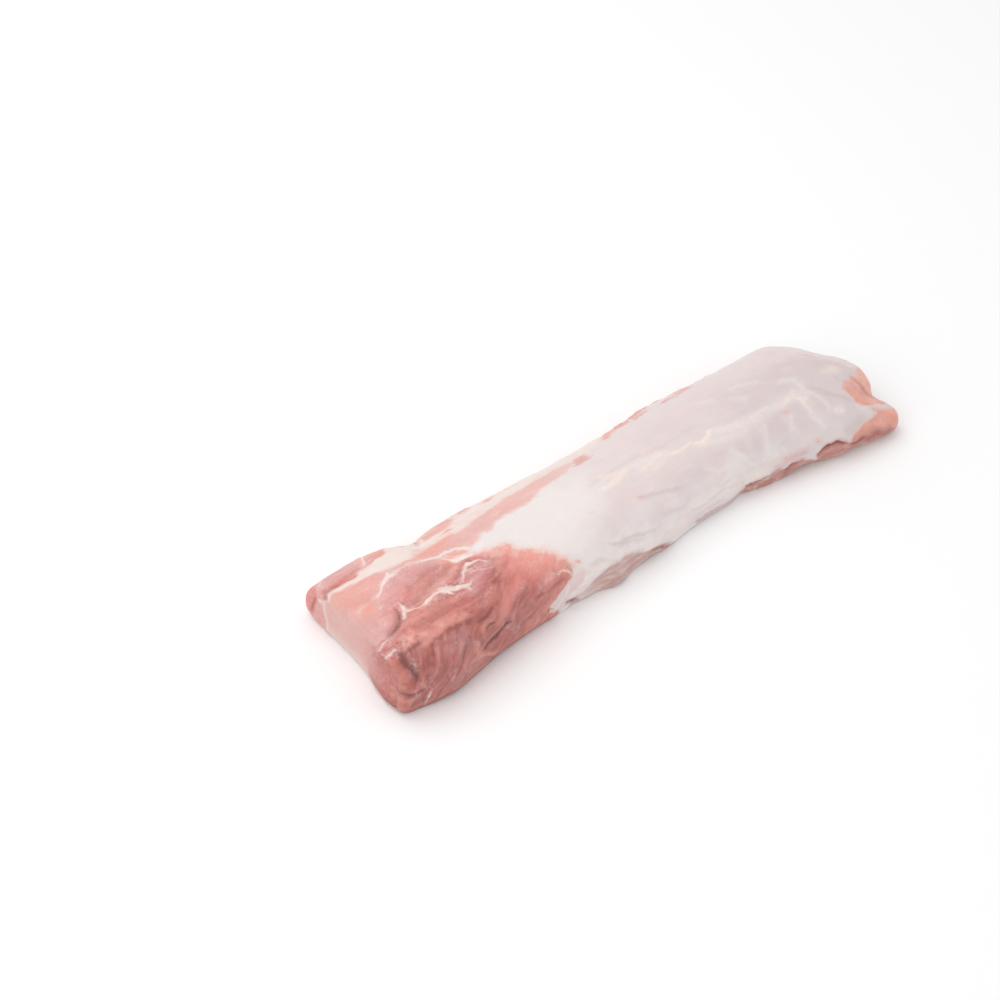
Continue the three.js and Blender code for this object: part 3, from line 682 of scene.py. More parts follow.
# ---- The cut faces ------------------------------------------------------------------------
# Knife cuts straight across the loin. The leg end shows the chain behind a white seam, the pale
# eye muscle, and the redder cap at the front. The rib end shows the pale eye muscle, a thin line
# of fat, and the red meat of the lip at the front.
face_y, face_z = surface[..., 1], surface[..., 2]
seam = 39 + 0.1 * (face_z - 16) + 0.8 * np.sin(face_z / 4)
crevice_line = np.abs(face_y - 54 - 0.35 * (38 - face_z))
crevice = crevice_line + np.maximum(0, 12 - face_z) + np.maximum(0, face_z - 38)
fat_blob = 5 - np.hypot(face_y - 48, 0.7 * (face_z - 42))
lean_front = (-31 - face_y + 5 * np.sin(face_z / 15)) * 0.1
nothing = face_y * 0 - DEEP_INSIDE
leg_face_maps = {
    "cap": lean_front,
    "bare_eye": seam - face_y - 1,
    "cream_fat": np.maximum(3.0 - np.abs(face_y - seam - 1.4), fat_blob),
    "chain": np.minimum(face_y - seam - 1.4, -fat_blob),
    "fat_thread": 2.4 - np.hypot(face_y + 48, 1.4 * (face_z - 50)),
    "belly_fat": 1.5 - face_z + 2 * np.sin(face_y / 9),
}
leg_face_tones = {
    # The dark tone: darker red low at the front of the face, and painted shade in the crevice.
    "dark_and_shade": np.maximum(0.9 * hump(face_z, 6, 7) * ease((-28 - face_y) / 14), 0.8 * hump(crevice, 0, 2)),
    "raw": np.maximum(hump(crevice, 0, 2.4), 0.6 * ease((face_y - 58) / 6)),
    "rim": 0.6 * hump(face_y, 49, 4) * hump(face_z, 26, 8),
    "mauve": 0.5 * hump(face_y, -42, 14) * hump(face_z, 26, 12),
    "veil": 0.75 * ease((23 - face_z) / 18) * ease((face_y + 36) / 16) * ease((42 - face_y) / 8),
}
rib_face_maps = {
    "bare_eye": 62 + face_y,
    "fat_thread": 1.1 - np.abs(face_y + 62 + 2 * np.sin(face_z / 4)),
    "rib_raw": -63 - face_y + 3 * np.sin(face_z / 5),
}
well_in = ease((1 - share[:, None]) / 0.1)
leg_share = on_leg_face * well_in
rib_share = on_rib_face * well_in * ease((1 - share[:, None]) / 0.4 + 0.55 * lumps(surface, 13, 61.3))
for name in maps:
    maps[name] = maps[name] + (leg_face_maps.get(name, nothing) - maps[name]) * leg_share
    beside, cut = np.clip(maps[name], -12, 12), np.clip(rib_face_maps.get(name, nothing), -12, 12)
    maps[name] = np.where(rib_share > 0, beside + (cut - beside) * rib_share, maps[name])
for name in tones:
    tones[name] = tones[name] + (leg_face_tones.get(name, 0) - tones[name]) * leg_share
    tones[name] = tones[name] * (1 - rib_share)


# ---- The loin's relief --------------------------------------------------------------------
# The cap muscle is a flap a few millimetres thick that lies over the silverskin. Muscles overlap
# in folds, fat fills the seams and stands a little proud of the meat, and bundles of fibres leave
# shallow ribs.
CAP_THICKNESS = 2.6
FOLD_STEP = 0.9
FOLD_TAPER = 7
# How far each of these stands above the silverskin, and over what width it rises.
RAISED = {
    "middle_muscle": (1.2, 6), "cream_fat": (0.9, 5), "back_lean": (0.8, 3), "side_lens": (-1.5, 4)}
GROOVE_PLACE = [(0, -48), (60, -52), (100, -58), (300, -62)]
# Folds: height, how far the raised side reaches, and a line. The left side is raised, as one
# walks along the line with the front edge to the right.
FOLDS = [
    (1.6, 9, [(28, 66), (40, 60), (52, 58), (64, 61), (76, 65), (86, 62)]),
    (1.8, 6, [(8, 66), (15, 62), (24, 56), (32, 46)]),
    (1.8, 5, [(3, 88), (4, 78), (3, 68), (5, 60)]),
    (1.8, 7, [(6, 42), (14, 37), (22, 31), (30, 25), (36, 13)]),
    (1.3, 3, [(84, 80), (92, 75), (100, 69), (110, 65)]),
    (1.4, 5, [(94, 54), (104, 48), (114, 44), (126, 43), (138, 46)]),
    (1.0, 4, [(112, 80), (124, 78), (136, 76), (148, 73)]),
    (1.2, 5, [(150, 83), (165, 84), (180, 82), (192, 84)]),
    (1.6, 6, [(60, 99), (72, 104), (82, 107), (92, 112), (102, 116)]),
    (2.0, 5, [(80, 98), (90, 91), (100, 86), (114, 82)]),
    (1.0, 4, [(122, 109), (136, 104), (150, 100), (160, 94)]),
    (1.2, 4, [(-2, 100), (8, 101), (17, 97)]),
    (1.0, 4, [(13, 82), (15, 94), (19, 106), (20, 118)]),
    (0.9, 3, [(24, 78), (22, 90), (25, 104)]),
    (0.8, 4, [(38, 84), (40, 98), (45, 112)]),
    (0.8, 4, [(52, 88), (56, 102), (62, 114)]),
    (1.2, 8, [(44, 14), (58, 19), (72, 15), (88, 7), (104, -5)]),
    (1.6, 5, [(240, 64), (250, 70), (264, 76), (280, 80), (298, 84), (314, 84)]),
    (1.2, 4, [(250, 70), (258, 75), (270, 82), (284, 87), (298, 89)]),
    (1.2, 5, [(300, 46), (314, 50), (328, 56), (343, 62)]),
    (1.2, 4, [(312, 72), (328, 79), (342, 85)]),
    (1.6, 4, [(350, 96), (369, 99), (386, 94), (399, 95), (418, 99)]),
    (1.4, 4, [(356, 108), (375, 108), (396, 110)]),
    (1.4, 6, [(526, 14), (534, 26), (543, 38), (561, 53)]),
    (1.6, 4, [(316, 97), (326, 104), (338, 109)]),
    (1.8, 7, [(204, 114), (220, 104), (236, 96), (250, 90), (264, 94), (280, 100), (292, 110), (312, 115)]),
    (2.2, 6, [(422, 112), (430, 105), (446, 104), (460, 96), (476, 96), (496, 102)]),
    (2.2, 6, [(504, 100), (511, 93), (524, 92), (538, 97), (552, 104)]),
    (1.2, 5, [(546, 94), (558, 97), (570, 101), (584, 98)]),
    (1.0, 5, [(566, 62), (580, 54), (590, 42)]),
]
# The cap's fibres slant: how far the grain has climbed towards the top by each distance.
GRAIN_RISE = [
    (0, 0), (20, 40), (40, 74), (60, 95), (90, 112), (150, 143), (172, 160), (200, 190), (600, 191)]


def fold_relief(height, reach, line):
    """The height of one fold at every place: a step along its line, fading out at both ends."""
    nearest = np.full(along_place.shape, 1e9)
    aside = np.zeros(along_place.shape)
    walked = np.zeros(along_place.shape)
    total = 0.0
    for (ax, ar), (bx, br) in zip(line, line[1:]):
        away, t = segment_distance((ax, ar), (bx, br))
        length = math.hypot(bx - ax, br - ar)
        side = ((bx - ax) * (map_round - ar) - (br - ar) * (map_along - ax)) / length
        closer = away < nearest
        nearest = np.where(closer, away, nearest)
        aside = np.where(closer, side, aside)
        walked = np.where(closer, total + t * length, walked)
        total += length
    fade = ease(walked / FOLD_TAPER) * ease((total - walked) / FOLD_TAPER)
    raised = 0.5 - 0.5 * np.tanh(aside / FOLD_STEP)
    return height * fade * raised * np.exp(-nearest / reach)


def smoothed(values, times):
    """Values evened out over the neighbouring points and rings."""
    for _ in range(times):
        values = (values + np.roll(values, 1, 1) + np.roll(values, -1, 1)) / 3
        padded = np.vstack([values[:1], values, values[-1:]])
        values = (padded[:-2] + padded[1:-1] + padded[2:]) / 3
    return values


on_face = (on_leg_face | on_rib_face)[..., None]
grain = np.stack([along_place, round_place + along(GRAIN_RISE, along_place), 0 * x], -1)
grain = np.where(on_face, surface, grain)
on_cap = ease((maps["cap"] + 2) / 4)
cap_front = on_cap * tones["slanted"] * (1 - on_leg_face)
groove = hump(round_place, along(GROOVE_PLACE, along_place), 7) * ease(1 - along_place / 260)
chain_grain = np.stack([along_place - round_place, along_place + round_place, 0 * x], -1) * 0.7
chain_grain = np.where(on_face, surface, chain_grain)

cap_edge = tones["rim_fade"]
cap_slope = maps["cap"] / (6 + 30 * cap_edge) + 0.2 - 0.2 * cap_edge
relief = CAP_THICKNESS * ease(cap_slope) * ease((round_place + 30) / 20)
relief += sum(rise * ease(maps[name] / width) for name, (rise, width) in RAISED.items())
relief -= 2.4 * groove
relief += 0.7 * ease(maps["fat_thread"] / 1.8 + 0.5) + 0.5 * ease(maps["skin_cord"] / 1.8 + 0.6)
relief -= 2.4 * ease(maps["gap"] / 4 + 0.25)
relief += 0.4 * tones["orange_and_ridge_light"] * on_cap - 0.7 * tones["dark_and_shade"] + 0.3 * tones["pale_and_glint"] + 0.5 * tones["cream"]
relief += sum(fold_relief(*fold) for fold in FOLDS)
relief += 1.2 * lumps(surface, 60, 3.1) + 0.45 * lumps(surface, 16, 7.7, (1.8, 1.0, 1.0))
cap_ribs = 0.6 * lumps(grain, 6, 1.3, (3.0, 1.0, 1.0)) + 0.65 * lumps(grain, 15, 5.9, (2.0, 1.0, 1.0))
relief += cap_front * (1 - 0.8 * tones["rim"]) * cap_ribs
relief += (on_cap - cap_front) * 0.5 * lumps(surface, 8, 4.4, (1.6, 1.0, 1.0))
strip_share = ease((maps["chain_strip"] + 2) / 6)
relief += strip_share * 1.3 * lumps(chain_grain, 9, 2.2, (3.0, 1.0, 1.0))
relief *= ease((surface[..., 2] - 2) / 9) * (1 - 0.85 * (on_leg_face | on_rib_face))
# How far each place stands above or below its neighbours, used to paint highlight on the crests and shade
# in the hollows.
crest_highlight = np.clip((relief - smoothed(relief, 5)) / 0.6 + (relief - smoothed(relief, 16)) / 1.5, -1, 1)
crest_highlight = np.where(on_face[..., 0], 0, crest_highlight) * (0.55 + 0.45 * tones["slanted"]) * (1 - 0.7 * tones["rim"])

lengthwise = np.gradient(surface, axis=0)
across = np.roll(surface, -1, 1) - np.roll(surface, 1, 1)
outward = np.cross(across, lengthwise)
outward /= np.linalg.norm(outward, axis=-1, keepdims=True) + 1e-9
surface = surface + outward * relief[..., None]
lift = sum(rise * hump(along_place, at, size) for at, rise, size in EDGE_LIFTS)
lift += 1.6 * np.clip(lumps(surface, 14, 9.2, (1.0, 3.0, 3.0), 2), 0, 1)
edge_share = ease(1 - surface[..., 2] / 26) * ease((np.abs(surface[..., 1] + 8) - 38) / 32)
surface[..., 2] += lift * edge_share


# ---- The loin's mesh ----------------------------------------------------------------------
# One closed skin over the whole loin: rings of points from the leg end's face to the rib end's,
# with a fan of triangles at the middle of each face. It is brought to the size of the solid that
# it stands for.
MM = 0.001
leg_middle, rib_middle = surface[0].mean(0), surface[-1].mean(0)
points = np.vstack([surface.reshape(-1, 3), leg_middle, rib_middle])
lowest, highest = np.array(solid_box)[0] / MM, np.array(solid_box)[1] / MM
spread = points.max(0) - points.min(0)
points = (points - points.min(0)) / spread * (highest - lowest) + lowest

rings = len(distance)
quads = []
for k in range(rings - 1):
    for i in range(ROUND):
        j = (i + 1) % ROUND
        quads.append((k * ROUND + i, k * ROUND + j, (k + 1) * ROUND + j, (k + 1) * ROUND + i))
fans = [(rings * ROUND, (i + 1) % ROUND, i) for i in range(ROUND)]
last = (rings - 1) * ROUND
fans += [(rings * ROUND + 1, last + i, last + (i + 1) % ROUND) for i in range(ROUND)]

mesh = bpy.data.meshes.new("pork_loin_meat")
mesh.from_pydata((points * MM).tolist(), [], quads + fans)
mesh.shade_smooth()
maps["along"] = along_place
maps["round"] = round_place
# Painted highlight on the crests and painted shade in the hollows.
maps["crest_highlight"] = crest_highlight
maps["hollow_shade"] = -crest_highlight
maps["cut_face"] = leg_share + 0.4 * rib_share + 0.6 * hump(along_place, 0, 7) * (1 - leg_share)
for name, values in (maps | tones).items():
    ends = [values[0].mean(), values[-1].mean()]
    attribute = mesh.attributes.new(name, "FLOAT", "POINT")
    attribute.data.foreach_set("value", np.r_[values.ravel(), ends].astype(np.float32))
for name, places in (("cap_grain", grain), ("chain_grain", chain_grain)):
    attribute = mesh.attributes.new(name, "FLOAT_VECTOR", "POINT")
    grain_points = np.vstack([places.reshape(-1, 3), places[0].mean(0), places[-1].mean(0)]) * MM
    attribute.data.foreach_set("vector", grain_points.astype(np.float32).ravel())
loin = bpy.data.objects.new("pork_loin_meat", mesh)
bpy.context.scene.collection.objects.link(loin)


# ---- The loin's finish --------------------------------------------------------------------
# Moist raw pork. Silverskin is a thin cloudy membrane over pink meat, the bare muscles are red
# with fine grain lengthwise, and the fat is cream white. Light goes a few millimetres in.
class Wire:
    """A shader value. Arithmetic on it adds Math nodes, so 1 - mask works as written."""

    def __init__(self, finish, socket):
        self.finish, self.socket = finish, socket

    def _math(self, operation, *values):
        return self.finish.node("ShaderNodeMath", {"operation": operation}, dict(enumerate(values)))

    def __add__(self, other):
        return self._math("ADD", self, other)

    def __radd__(self, other):
        return self._math("ADD", other, self)

    def __sub__(self, other):
        return self._math("SUBTRACT", self, other)

    def __rsub__(self, other):
        return self._math("SUBTRACT", other, self)

    def __mul__(self, other):
        return self._math("MULTIPLY", self, other)

    def __rmul__(self, other):
        return self._math("MULTIPLY", other, self)


class Finish:
    """A material under construction."""

    def __init__(self, name):
        self.material = bpy.data.materials.new(name)
        self.material.use_nodes = True
        self.tree = self.material.node_tree
        self.tree.nodes.clear()

    def node(self, kind, settings=None, sockets=None, output=0):
        made = self.tree.nodes.new(kind)
        for name, value in (settings or {}).items():
            setattr(made, name, value)
        for key, value in (sockets or {}).items():
            if isinstance(value, Wire):
                self.tree.links.new(value.socket, made.inputs[key])
            else:
                made.inputs[key].default_value = value
        return Wire(self, made.outputs[output]) if made.outputs else None

    def attribute(self, name, output="Fac"):
        return self.node("ShaderNodeAttribute", {"attribute_name": name}, output=output)

    def step(self, value, low, high):
        """0 below low, 1 above high, and eased between them."""
        return self.node("ShaderNodeMapRange", {"interpolation_type": "SMOOTHSTEP"},
                         {"Value": value, "From Min": low, "From Max": high})

    def mix(self, share, first, second, blend="MIX"):
        """Between two colours, each three numbers or a wire."""
        sockets = {0: share}
        for key, colour in ((6, first), (7, second)):
            sockets[key] = colour if isinstance(colour, Wire) else (*colour, 1)
        return self.node("ShaderNodeMix", {"data_type": "RGBA", "blend_type": blend}, sockets, output=2)

    def clouds(self, scale, detail=3.0, stretch=(1, 1, 1), roughness=0.5, place=None, kind="FBM"):
        """Uneven clouds from 0 to 1, scale per metre, in the object's own space or at a place."""
        place = place or self.node("ShaderNodeTexCoord", output="Object")
        place = self.node("ShaderNodeMapping", {}, {"Vector": place, "Scale": stretch})
        return self.node("ShaderNodeTexNoise", {"noise_type": kind}, {
            "Vector": place, "Scale": scale, "Detail": detail, "Roughness": roughness})


# Colours of the silverskin, the muscles, the fat and the films on them, and of the painted shade
# and highlights on them.
SKIN_PINK = (0.755, 0.655, 0.643)
SKIN_WHITE = (0.85, 0.795, 0.778)
SKIN_LILAC = (0.715, 0.63, 0.635)
SKIN_BLUSH = (0.79, 0.62, 0.60)
FASCIA_WHITE = (0.81, 0.752, 0.732)
RIB_HALF_GREY = (0.91, 0.905, 0.915)
EYE_PINK = (0.785, 0.43, 0.378)
EYE_ROSE = (0.73, 0.345, 0.31)
EYE_STREAK = (0.86, 0.58, 0.52)
EYE_PALE = (0.86, 0.66, 0.61)
EYE_DULL = (0.74, 0.40, 0.365)
EYE_GRAIN = (0.84, 0.66, 0.62)
MIDDLE_RED = (0.625, 0.208, 0.187)
MIDDLE_PINK = (0.73, 0.345, 0.303)
MIDDLE_ROSE = (0.80, 0.45, 0.40)
MIDDLE_PALE = (0.755, 0.43, 0.385)
CAP_RED = (0.505, 0.147, 0.121)
CAP_PINK = (0.66, 0.238, 0.199)
CAP_BROWN = (0.34, 0.11, 0.10)
RIM_RED = (0.885, 0.335, 0.298)
CAP_ORANGE = (0.86, 0.56, 0.46)
CAP_FAT = (0.80, 0.56, 0.52)
# Painted shade on the cap's front side, together with its duller colour.
FRONT_SHADE_GREY = (0.80, 0.755, 0.745)
CHAIN_ROSE = (0.72, 0.33, 0.30)
CHAIN_PINK = (0.745, 0.42, 0.39)
CREAM = (0.82, 0.70, 0.652)
THREAD_WHITE = (0.86, 0.735, 0.68)
FAT_BLUSH = (0.85, 0.60, 0.54)
FAT_STREAK = (0.80, 0.50, 0.44)
FAT_HOLLOW_SHADE = (0.82, 0.56, 0.50)
TISSUE_PINK = (0.80, 0.56, 0.54)
LEAN_ORANGE = (0.81, 0.40, 0.34)
LEAN_RED = (0.68, 0.28, 0.24)
LENS_TAN = (0.575, 0.36, 0.33)
LENS_PALE = (0.68, 0.52, 0.49)
RAW_SALMON = (0.825, 0.45, 0.37)
RAW_RED = (0.60, 0.255, 0.22)
RAW_ROSE = (0.715, 0.355, 0.295)
RAW_BROWN = (0.50, 0.235, 0.20)
RAW_GRAIN = (0.78, 0.55, 0.48)
MEMBRANE_LILAC = (0.76, 0.62, 0.61)
RIB_PINK = (0.74, 0.42, 0.38)
FINGER_PINK = (0.74, 0.40, 0.35)
BELLY_ROSE = (0.735, 0.435, 0.385)
BELLY_PINK = (0.79, 0.555, 0.51)
BELLY_WHITE = (0.80, 0.69, 0.67)
BELLY_RED = (0.62, 0.33, 0.295)
CUT_ROSE = (0.74, 0.50, 0.455)
CUT_GREY = (0.91, 0.92, 0.93)
CUT_FILM = (0.72, 0.585, 0.56)
# Painted shade inside the gaps.
GAP_SHADE = (0.25, 0.085, 0.08)
STRAND_SHADE = (0.72, 0.58, 0.58)
STRAND_LIGHT = (0.84, 0.48, 0.42)
SPECK_PINK = (0.88, 0.64, 0.59)
# The soft tones' colours. The dark tone is partly painted shade, the orange partly painted highlight and
# the pale partly painted glints.
TONE_COLOURS = {
    "orange_and_ridge_light": (0.80, 0.345, 0.275),
    "dark_and_shade": (0.36, 0.105, 0.095),
    "mauve": (0.64, 0.32, 0.33),
    "pale_and_glint": (0.90, 0.74, 0.70),
    "cream": (0.89, 0.775, 0.69),
    "veil": (0.87, 0.82, 0.79),
    "lilac": (0.69, 0.585, 0.595),
    "rim": RIM_RED,
    "raw": (0.68, 0.13, 0.10),
    "shade": (0.52, 0.44, 0.43),
}

# Grain, patches and strands, shared by all the surfaces.
meat = Finish("raw_pork")
grain_place = meat.attribute("cap_grain", "Vector")
ragged = meat.clouds(170, 4, roughness=0.62) - 0.5
wavy = meat.clouds(42, 2) - 0.5
fingers = meat.clouds(58, 1, (0.2, 1, 1), place=grain_place) - 0.5
fibres = meat.clouds(620, 3, (0.09, 1, 1), 0.6)
bundles = meat.clouds(210, 3, (0.14, 1, 1), 0.55)
crosswise = meat.clouds(240, 3, (1, 0.12, 0.16), 0.6)
cap_fibres = meat.clouds(560, 4, (0.2, 1, 1), 0.62, grain_place)
cap_bundles = meat.clouds(170, 4, (0.24, 1, 1), 0.6, grain_place)
patches = meat.clouds(30, 3, (0.6, 1, 1))
mottle = meat.clouds(105, 4, roughness=0.58)
speckle = meat.clouds(420, 3, roughness=0.6)
strands = meat.clouds(170, 3, (0.17, 1, 1), 0.6, meat.attribute("chain_grain", "Vector"))
broken = meat.clouds(260, 5, roughness=0.65)
veins = meat.clouds(26, 4, (0.7, 1, 1), 0.55, kind="RIDGED_MULTIFRACTAL")
webs = meat.clouds(62, 4, (0.8, 1, 1), 0.6, kind="RIDGED_MULTIFRACTAL")
front_share = meat.attribute("slanted")
# Where to paint highlight on the crests and shade in the hollows.
crest_highlight = meat.attribute("crest_highlight")
hollow_shade = meat.attribute("hollow_shade")


def region(name, blur, rag, wave=0):
    """1 inside a muscle's outline and 0 outside, with a torn edge."""
    depth = meat.attribute(name) + ragged * rag
    if wave:
        depth = depth + wavy * wave
    return meat.step(depth, -blur, blur)


def winding(value, half_width):
    """Thin winding lines: 1 where uneven clouds pass their middle value, 0 elsewhere."""
    return meat.step(value, 0.5 - half_width, 0.5) * meat.step(value, 0.5 + half_width, 0.5)


def two_tone(first, second, pattern, other, share, low, high):
    """A muscle's two colours in patches, by a share of one pattern and the rest of another."""
    return meat.mix(meat.step(pattern * share + other * (1 - share), low, high), first, second)


def tinted(base, tint, pattern, low, high, share):
    """A colour with another laid over it where a pattern runs from low to high."""
    return meat.mix(meat.step(pattern, low, high) * share, base, tint)


def toned(base, tone, strength=0.85, break_up=0.9):
    """A colour with one of the soft tones laid over it, unevenly."""
    share = meat.attribute(tone) * (1.1 - 0.5 * break_up + break_up * meat.step(broken, 0.3, 0.7))
    return meat.mix(share * strength, base, TONE_COLOURS[tone])


# Silverskin, whiter at the leg end and greyer at the rib end.
white_share = meat.attribute("whiteness") + (meat.clouds(17, 3, (0.5, 1, 1)) - 0.5) * 1.6
colour = meat.mix(meat.step(white_share, 0.1, 0.9), SKIN_PINK, SKIN_WHITE)
colour = tinted(colour, SKIN_BLUSH, meat.clouds(34, 3, (0.6, 1, 1)), 0.45, 0.72, 0.4)
colour = tinted(colour, SKIN_LILAC, meat.clouds(55, 3), 0.42, 0.72, 0.45)
colour = tinted(colour, FASCIA_WHITE, webs, 0.4, 1.0, 0.4)
colour = tinted(colour, SKIN_LILAC, crosswise, 0.5, 0.8, 0.22)
colour = tinted(colour, FASCIA_WHITE, bundles, 0.48, 0.75, 0.3)
colour = meat.mix(meat.step(meat.attribute("fascia") + wavy * 26, -30, 12), colour, FASCIA_WHITE)
rib_half = meat.step(meat.attribute("along"), 400, 480) * meat.step(meat.attribute("round"), -42, -12)
colour = meat.mix(rib_half, colour, RIB_HALF_GREY, "MULTIPLY")
colour = toned(toned(colour, "lilac", 0.75, 0.5), "veil", 0.55, 0.9)
colour = meat.mix(region("membrane", 3, 5, 4) * 0.8, colour, MEMBRANE_LILAC)

# The underside: red meat under a white web at the front, the pale eye muscle, and the fingers.
rib_tone = two_tone(RAW_RED, RIB_PINK, bundles, patches, 0.5, 0.42, 0.58)
off_front_edge = meat.step(meat.attribute("round") * 0.02 + wavy * 2, -3.1, -2.6)
rib_tone = meat.mix(off_front_edge, MEMBRANE_LILAC, rib_tone)
rib_tone = meat.mix(winding(meat.clouds(40, 2.5), 0.08) * 0.9, rib_tone, FASCIA_WHITE)
rib_tone = meat.mix(winding(meat.clouds(78, 2.5), 0.06) * (0.3 + 0.9 * mottle), rib_tone, FASCIA_WHITE)
colour = meat.mix(region("belly_rim", 5, 16, 18), colour, rib_tone)
belly_tone = two_tone(BELLY_ROSE, BELLY_PINK, patches, mottle, 0.6, 0.38, 0.62)
belly_web = winding(meat.clouds(24, 2.5, (0.6, 1, 1)), 0.06) * (0.6 * mottle)
belly_tone = meat.mix(belly_web, belly_tone, BELLY_WHITE)
belly_tone = tinted(belly_tone, BELLY_RED, fibres * 0.5 + bundles * 0.5, 0.56, 0.7, 0.35)
belly_tone = tinted(belly_tone, EYE_ROSE, meat.clouds(80, 2, (0.45, 1, 1)), 0.66, 0.75, 0.5)
colour = meat.mix(region("belly_eye", 4.5, 12, 12), colour, belly_tone)
colour = meat.mix(region("lilac_finger", 5, 16, 16) * 0.5, colour, MEMBRANE_LILAC)
finger_tone = meat.mix(meat.step(bundles, 0.4, 0.65), RAW_RED, FINGER_PINK)
colour = meat.mix(region("red_finger", 2.6, 11, 9) * 0.85, colour, finger_tone)

# The bare eye muscle, dulled by a thin film further along, and the rounder muscle beside the cap.
bare = two_tone(EYE_PINK, EYE_ROSE, patches, bundles, 0.6, 0.38, 0.62)
bare = tinted(bare, EYE_STREAK, veins, 0.4, 0.9, 0.3)
bare = tinted(bare, EYE_PALE, meat.attribute("along"), 90, 150, 0.3)
bare = tinted(bare, EYE_DULL, meat.attribute("along"), 180, 240, 0.45)
bare = tinted(bare, EYE_GRAIN, bundles, 0.5, 0.72, 0.45)
face = meat.attribute("cut_face")
faded = 1 - 0.3 * meat.step(meat.attribute("along"), 200, 280) * (1 - meat.step(face, 0.1, 0.35))
colour = meat.mix(region("bare_eye", 3.4, 6, 5) * faded, colour, bare)
middle_tone = two_tone(MIDDLE_RED, MIDDLE_PINK, bundles, patches, 0.35, 0.4, 0.62)
middle_tone = tinted(middle_tone, MIDDLE_ROSE, meat.attribute("round") + wavy * 20, 9, -9, 0.5)
near_face = meat.step(meat.attribute("along") + wavy * 30, 60, 8)
middle_tone = meat.mix(near_face * 0.6, middle_tone, MIDDLE_PALE)
colour = meat.mix(region("middle_muscle", 2.2, 3, 3), colour, middle_tone)

# The red cap, with a torn orange fringe where it thins out over the silverskin.
grainy = bundles * (1 - front_share) + cap_bundles * front_share
cap_tone = two_tone(CAP_RED, CAP_PINK, patches, grainy, 0.45, 0.4, 0.62)
cap_tone = tinted(cap_tone, CAP_BROWN, mottle, 0.42, 0.72, 0.15 + 0.5 * front_share)
far_rim = meat.attribute("rim_fade")
fringe = meat.attribute("cap") + ragged * (3 - 1.8 * far_rim) + (fingers * 24 - 6.5) * far_rim
cap_share = meat.step(fringe, -2.0 - 3 * far_rim, 2.3 + 4 * far_rim)
colour = meat.mix(meat.step(fringe, -12, 0) * far_rim * 0.75, colour, CAP_ORANGE)
colour = meat.mix(cap_share, colour, cap_tone)
cap_web = winding(meat.clouds(30, 2.5, (0.5, 1, 1)), 0.035) * (0.8 * mottle)
cap_below = meat.mix(cap_web, cap_tone, CAP_FAT)
colour = meat.mix(region("belly_cap", 4.0, 10, 10) * 0.9, colour, cap_below)
rim_share = meat.attribute("rim") * meat.step(fringe, -9, 4) * (0.9 + 0.5 * cap_bundles)
colour = meat.mix(rim_share, colour, RIM_RED)

# Cream fat along the back, the chain strip with its pale strands, and the chain at the leg end.
fat_tone = meat.mix(meat.step(meat.clouds(60, 4, (0.6, 1, 1)), 0.5, 0.75) * 0.55, CREAM, FAT_BLUSH)
fat_tone = tinted(fat_tone, FAT_STREAK, bundles, 0.55, 0.72, 0.4)
# Painted shade: the fat is pinker and darker in the hollows.
fat_tone = tinted(fat_tone, FAT_HOLLOW_SHADE, hollow_shade, 0.0, 0.8, 0.4)
colour = meat.mix(region("cream_fat", 3, 5, 4), colour, fat_tone)
strip_tone = two_tone(RAW_RED, CHAIN_ROSE, strands, patches, 0.6, 0.4, 0.6)
slants = meat.clouds(62, 3, (0.3, 1, 1), 0.55, meat.attribute("chain_grain", "Vector"))
strip_tone = meat.mix(winding(slants, 0.07) * (0.35 + 0.7 * mottle), strip_tone, CREAM)
colour = meat.mix(region("chain_strip", 2.0, 6, 6), colour, strip_tone)
colour = meat.mix(region("belly_fat", 2.2, 11, 10) * (0.6 + 0.6 * mottle), colour, CREAM)
chain_tone = two_tone(CHAIN_ROSE, CHAIN_PINK, bundles, mottle, 0.6, 0.4, 0.64)
colour = meat.mix(region("chain", 1.8, 3, 4), colour, chain_tone)

# Lean meat that shows through the fat, the tan patch low in the side, and the raw rib end.
torn = meat.step(meat.attribute("back_lean") + ragged * 10 + bundles * 34 - 17, -2.5, 3.5)
lean_tone = two_tone(LEAN_RED, LEAN_ORANGE, bundles, mottle, 0.5, 0.4, 0.62)
colour = meat.mix(torn * 0.75, colour, lean_tone)
lens_tone = two_tone(LENS_TAN, LENS_PALE, fibres, bundles, 0.4, 0.42, 0.62)
lens_pale = 1 - 0.6 * meat.step(meat.attribute("along"), 236, 204)
colour = meat.mix(region("side_lens", 3.5, 4, 3) * lens_pale, colour, lens_tone)
raw_tone = two_tone(RAW_SALMON, RAW_ROSE, patches, mottle, 0.5, 0.42, 0.62)
raw_tone = tinted(raw_tone, RAW_BROWN, meat.attribute("round"), 82, 100, 0.8)
raw_tone = tinted(raw_tone, RAW_GRAIN, bundles, 0.52, 0.72, 0.35)
raw_web = winding(meat.clouds(44, 2.5), 0.07) * meat.step(meat.attribute("round"), 102, 124)
raw_tone = meat.mix(raw_web * (0.3 + 0.9 * mottle), raw_tone, FASCIA_WHITE)
colour = meat.mix(region("rib_raw", 1.6, 3.5, 3), colour, raw_tone)

# Soft tones over all of it, with painted highlight on the crests and painted shade in the hollows.
lean = meat.step(meat.attribute("cap"), -2, 2)
# The orange tone is partly painted highlight on the ridges.
colour = toned(toned(colour, "mauve", 0.7, 0.5), "orange_and_ridge_light", 0.75)
colour = toned(toned(colour, "shade", 0.36, 0.5), "raw", 0.95, 0.3)
# Painted highlight: the crests are lighter and more orange.
colour = tinted(colour, TONE_COLOURS["orange_and_ridge_light"], crest_highlight, 0.1, 0.95, 0.06 + 0.42 * lean)
# Darker red in places, and painted shade in the creases.
colour = toned(colour, "dark_and_shade", 0.75, 0.4)
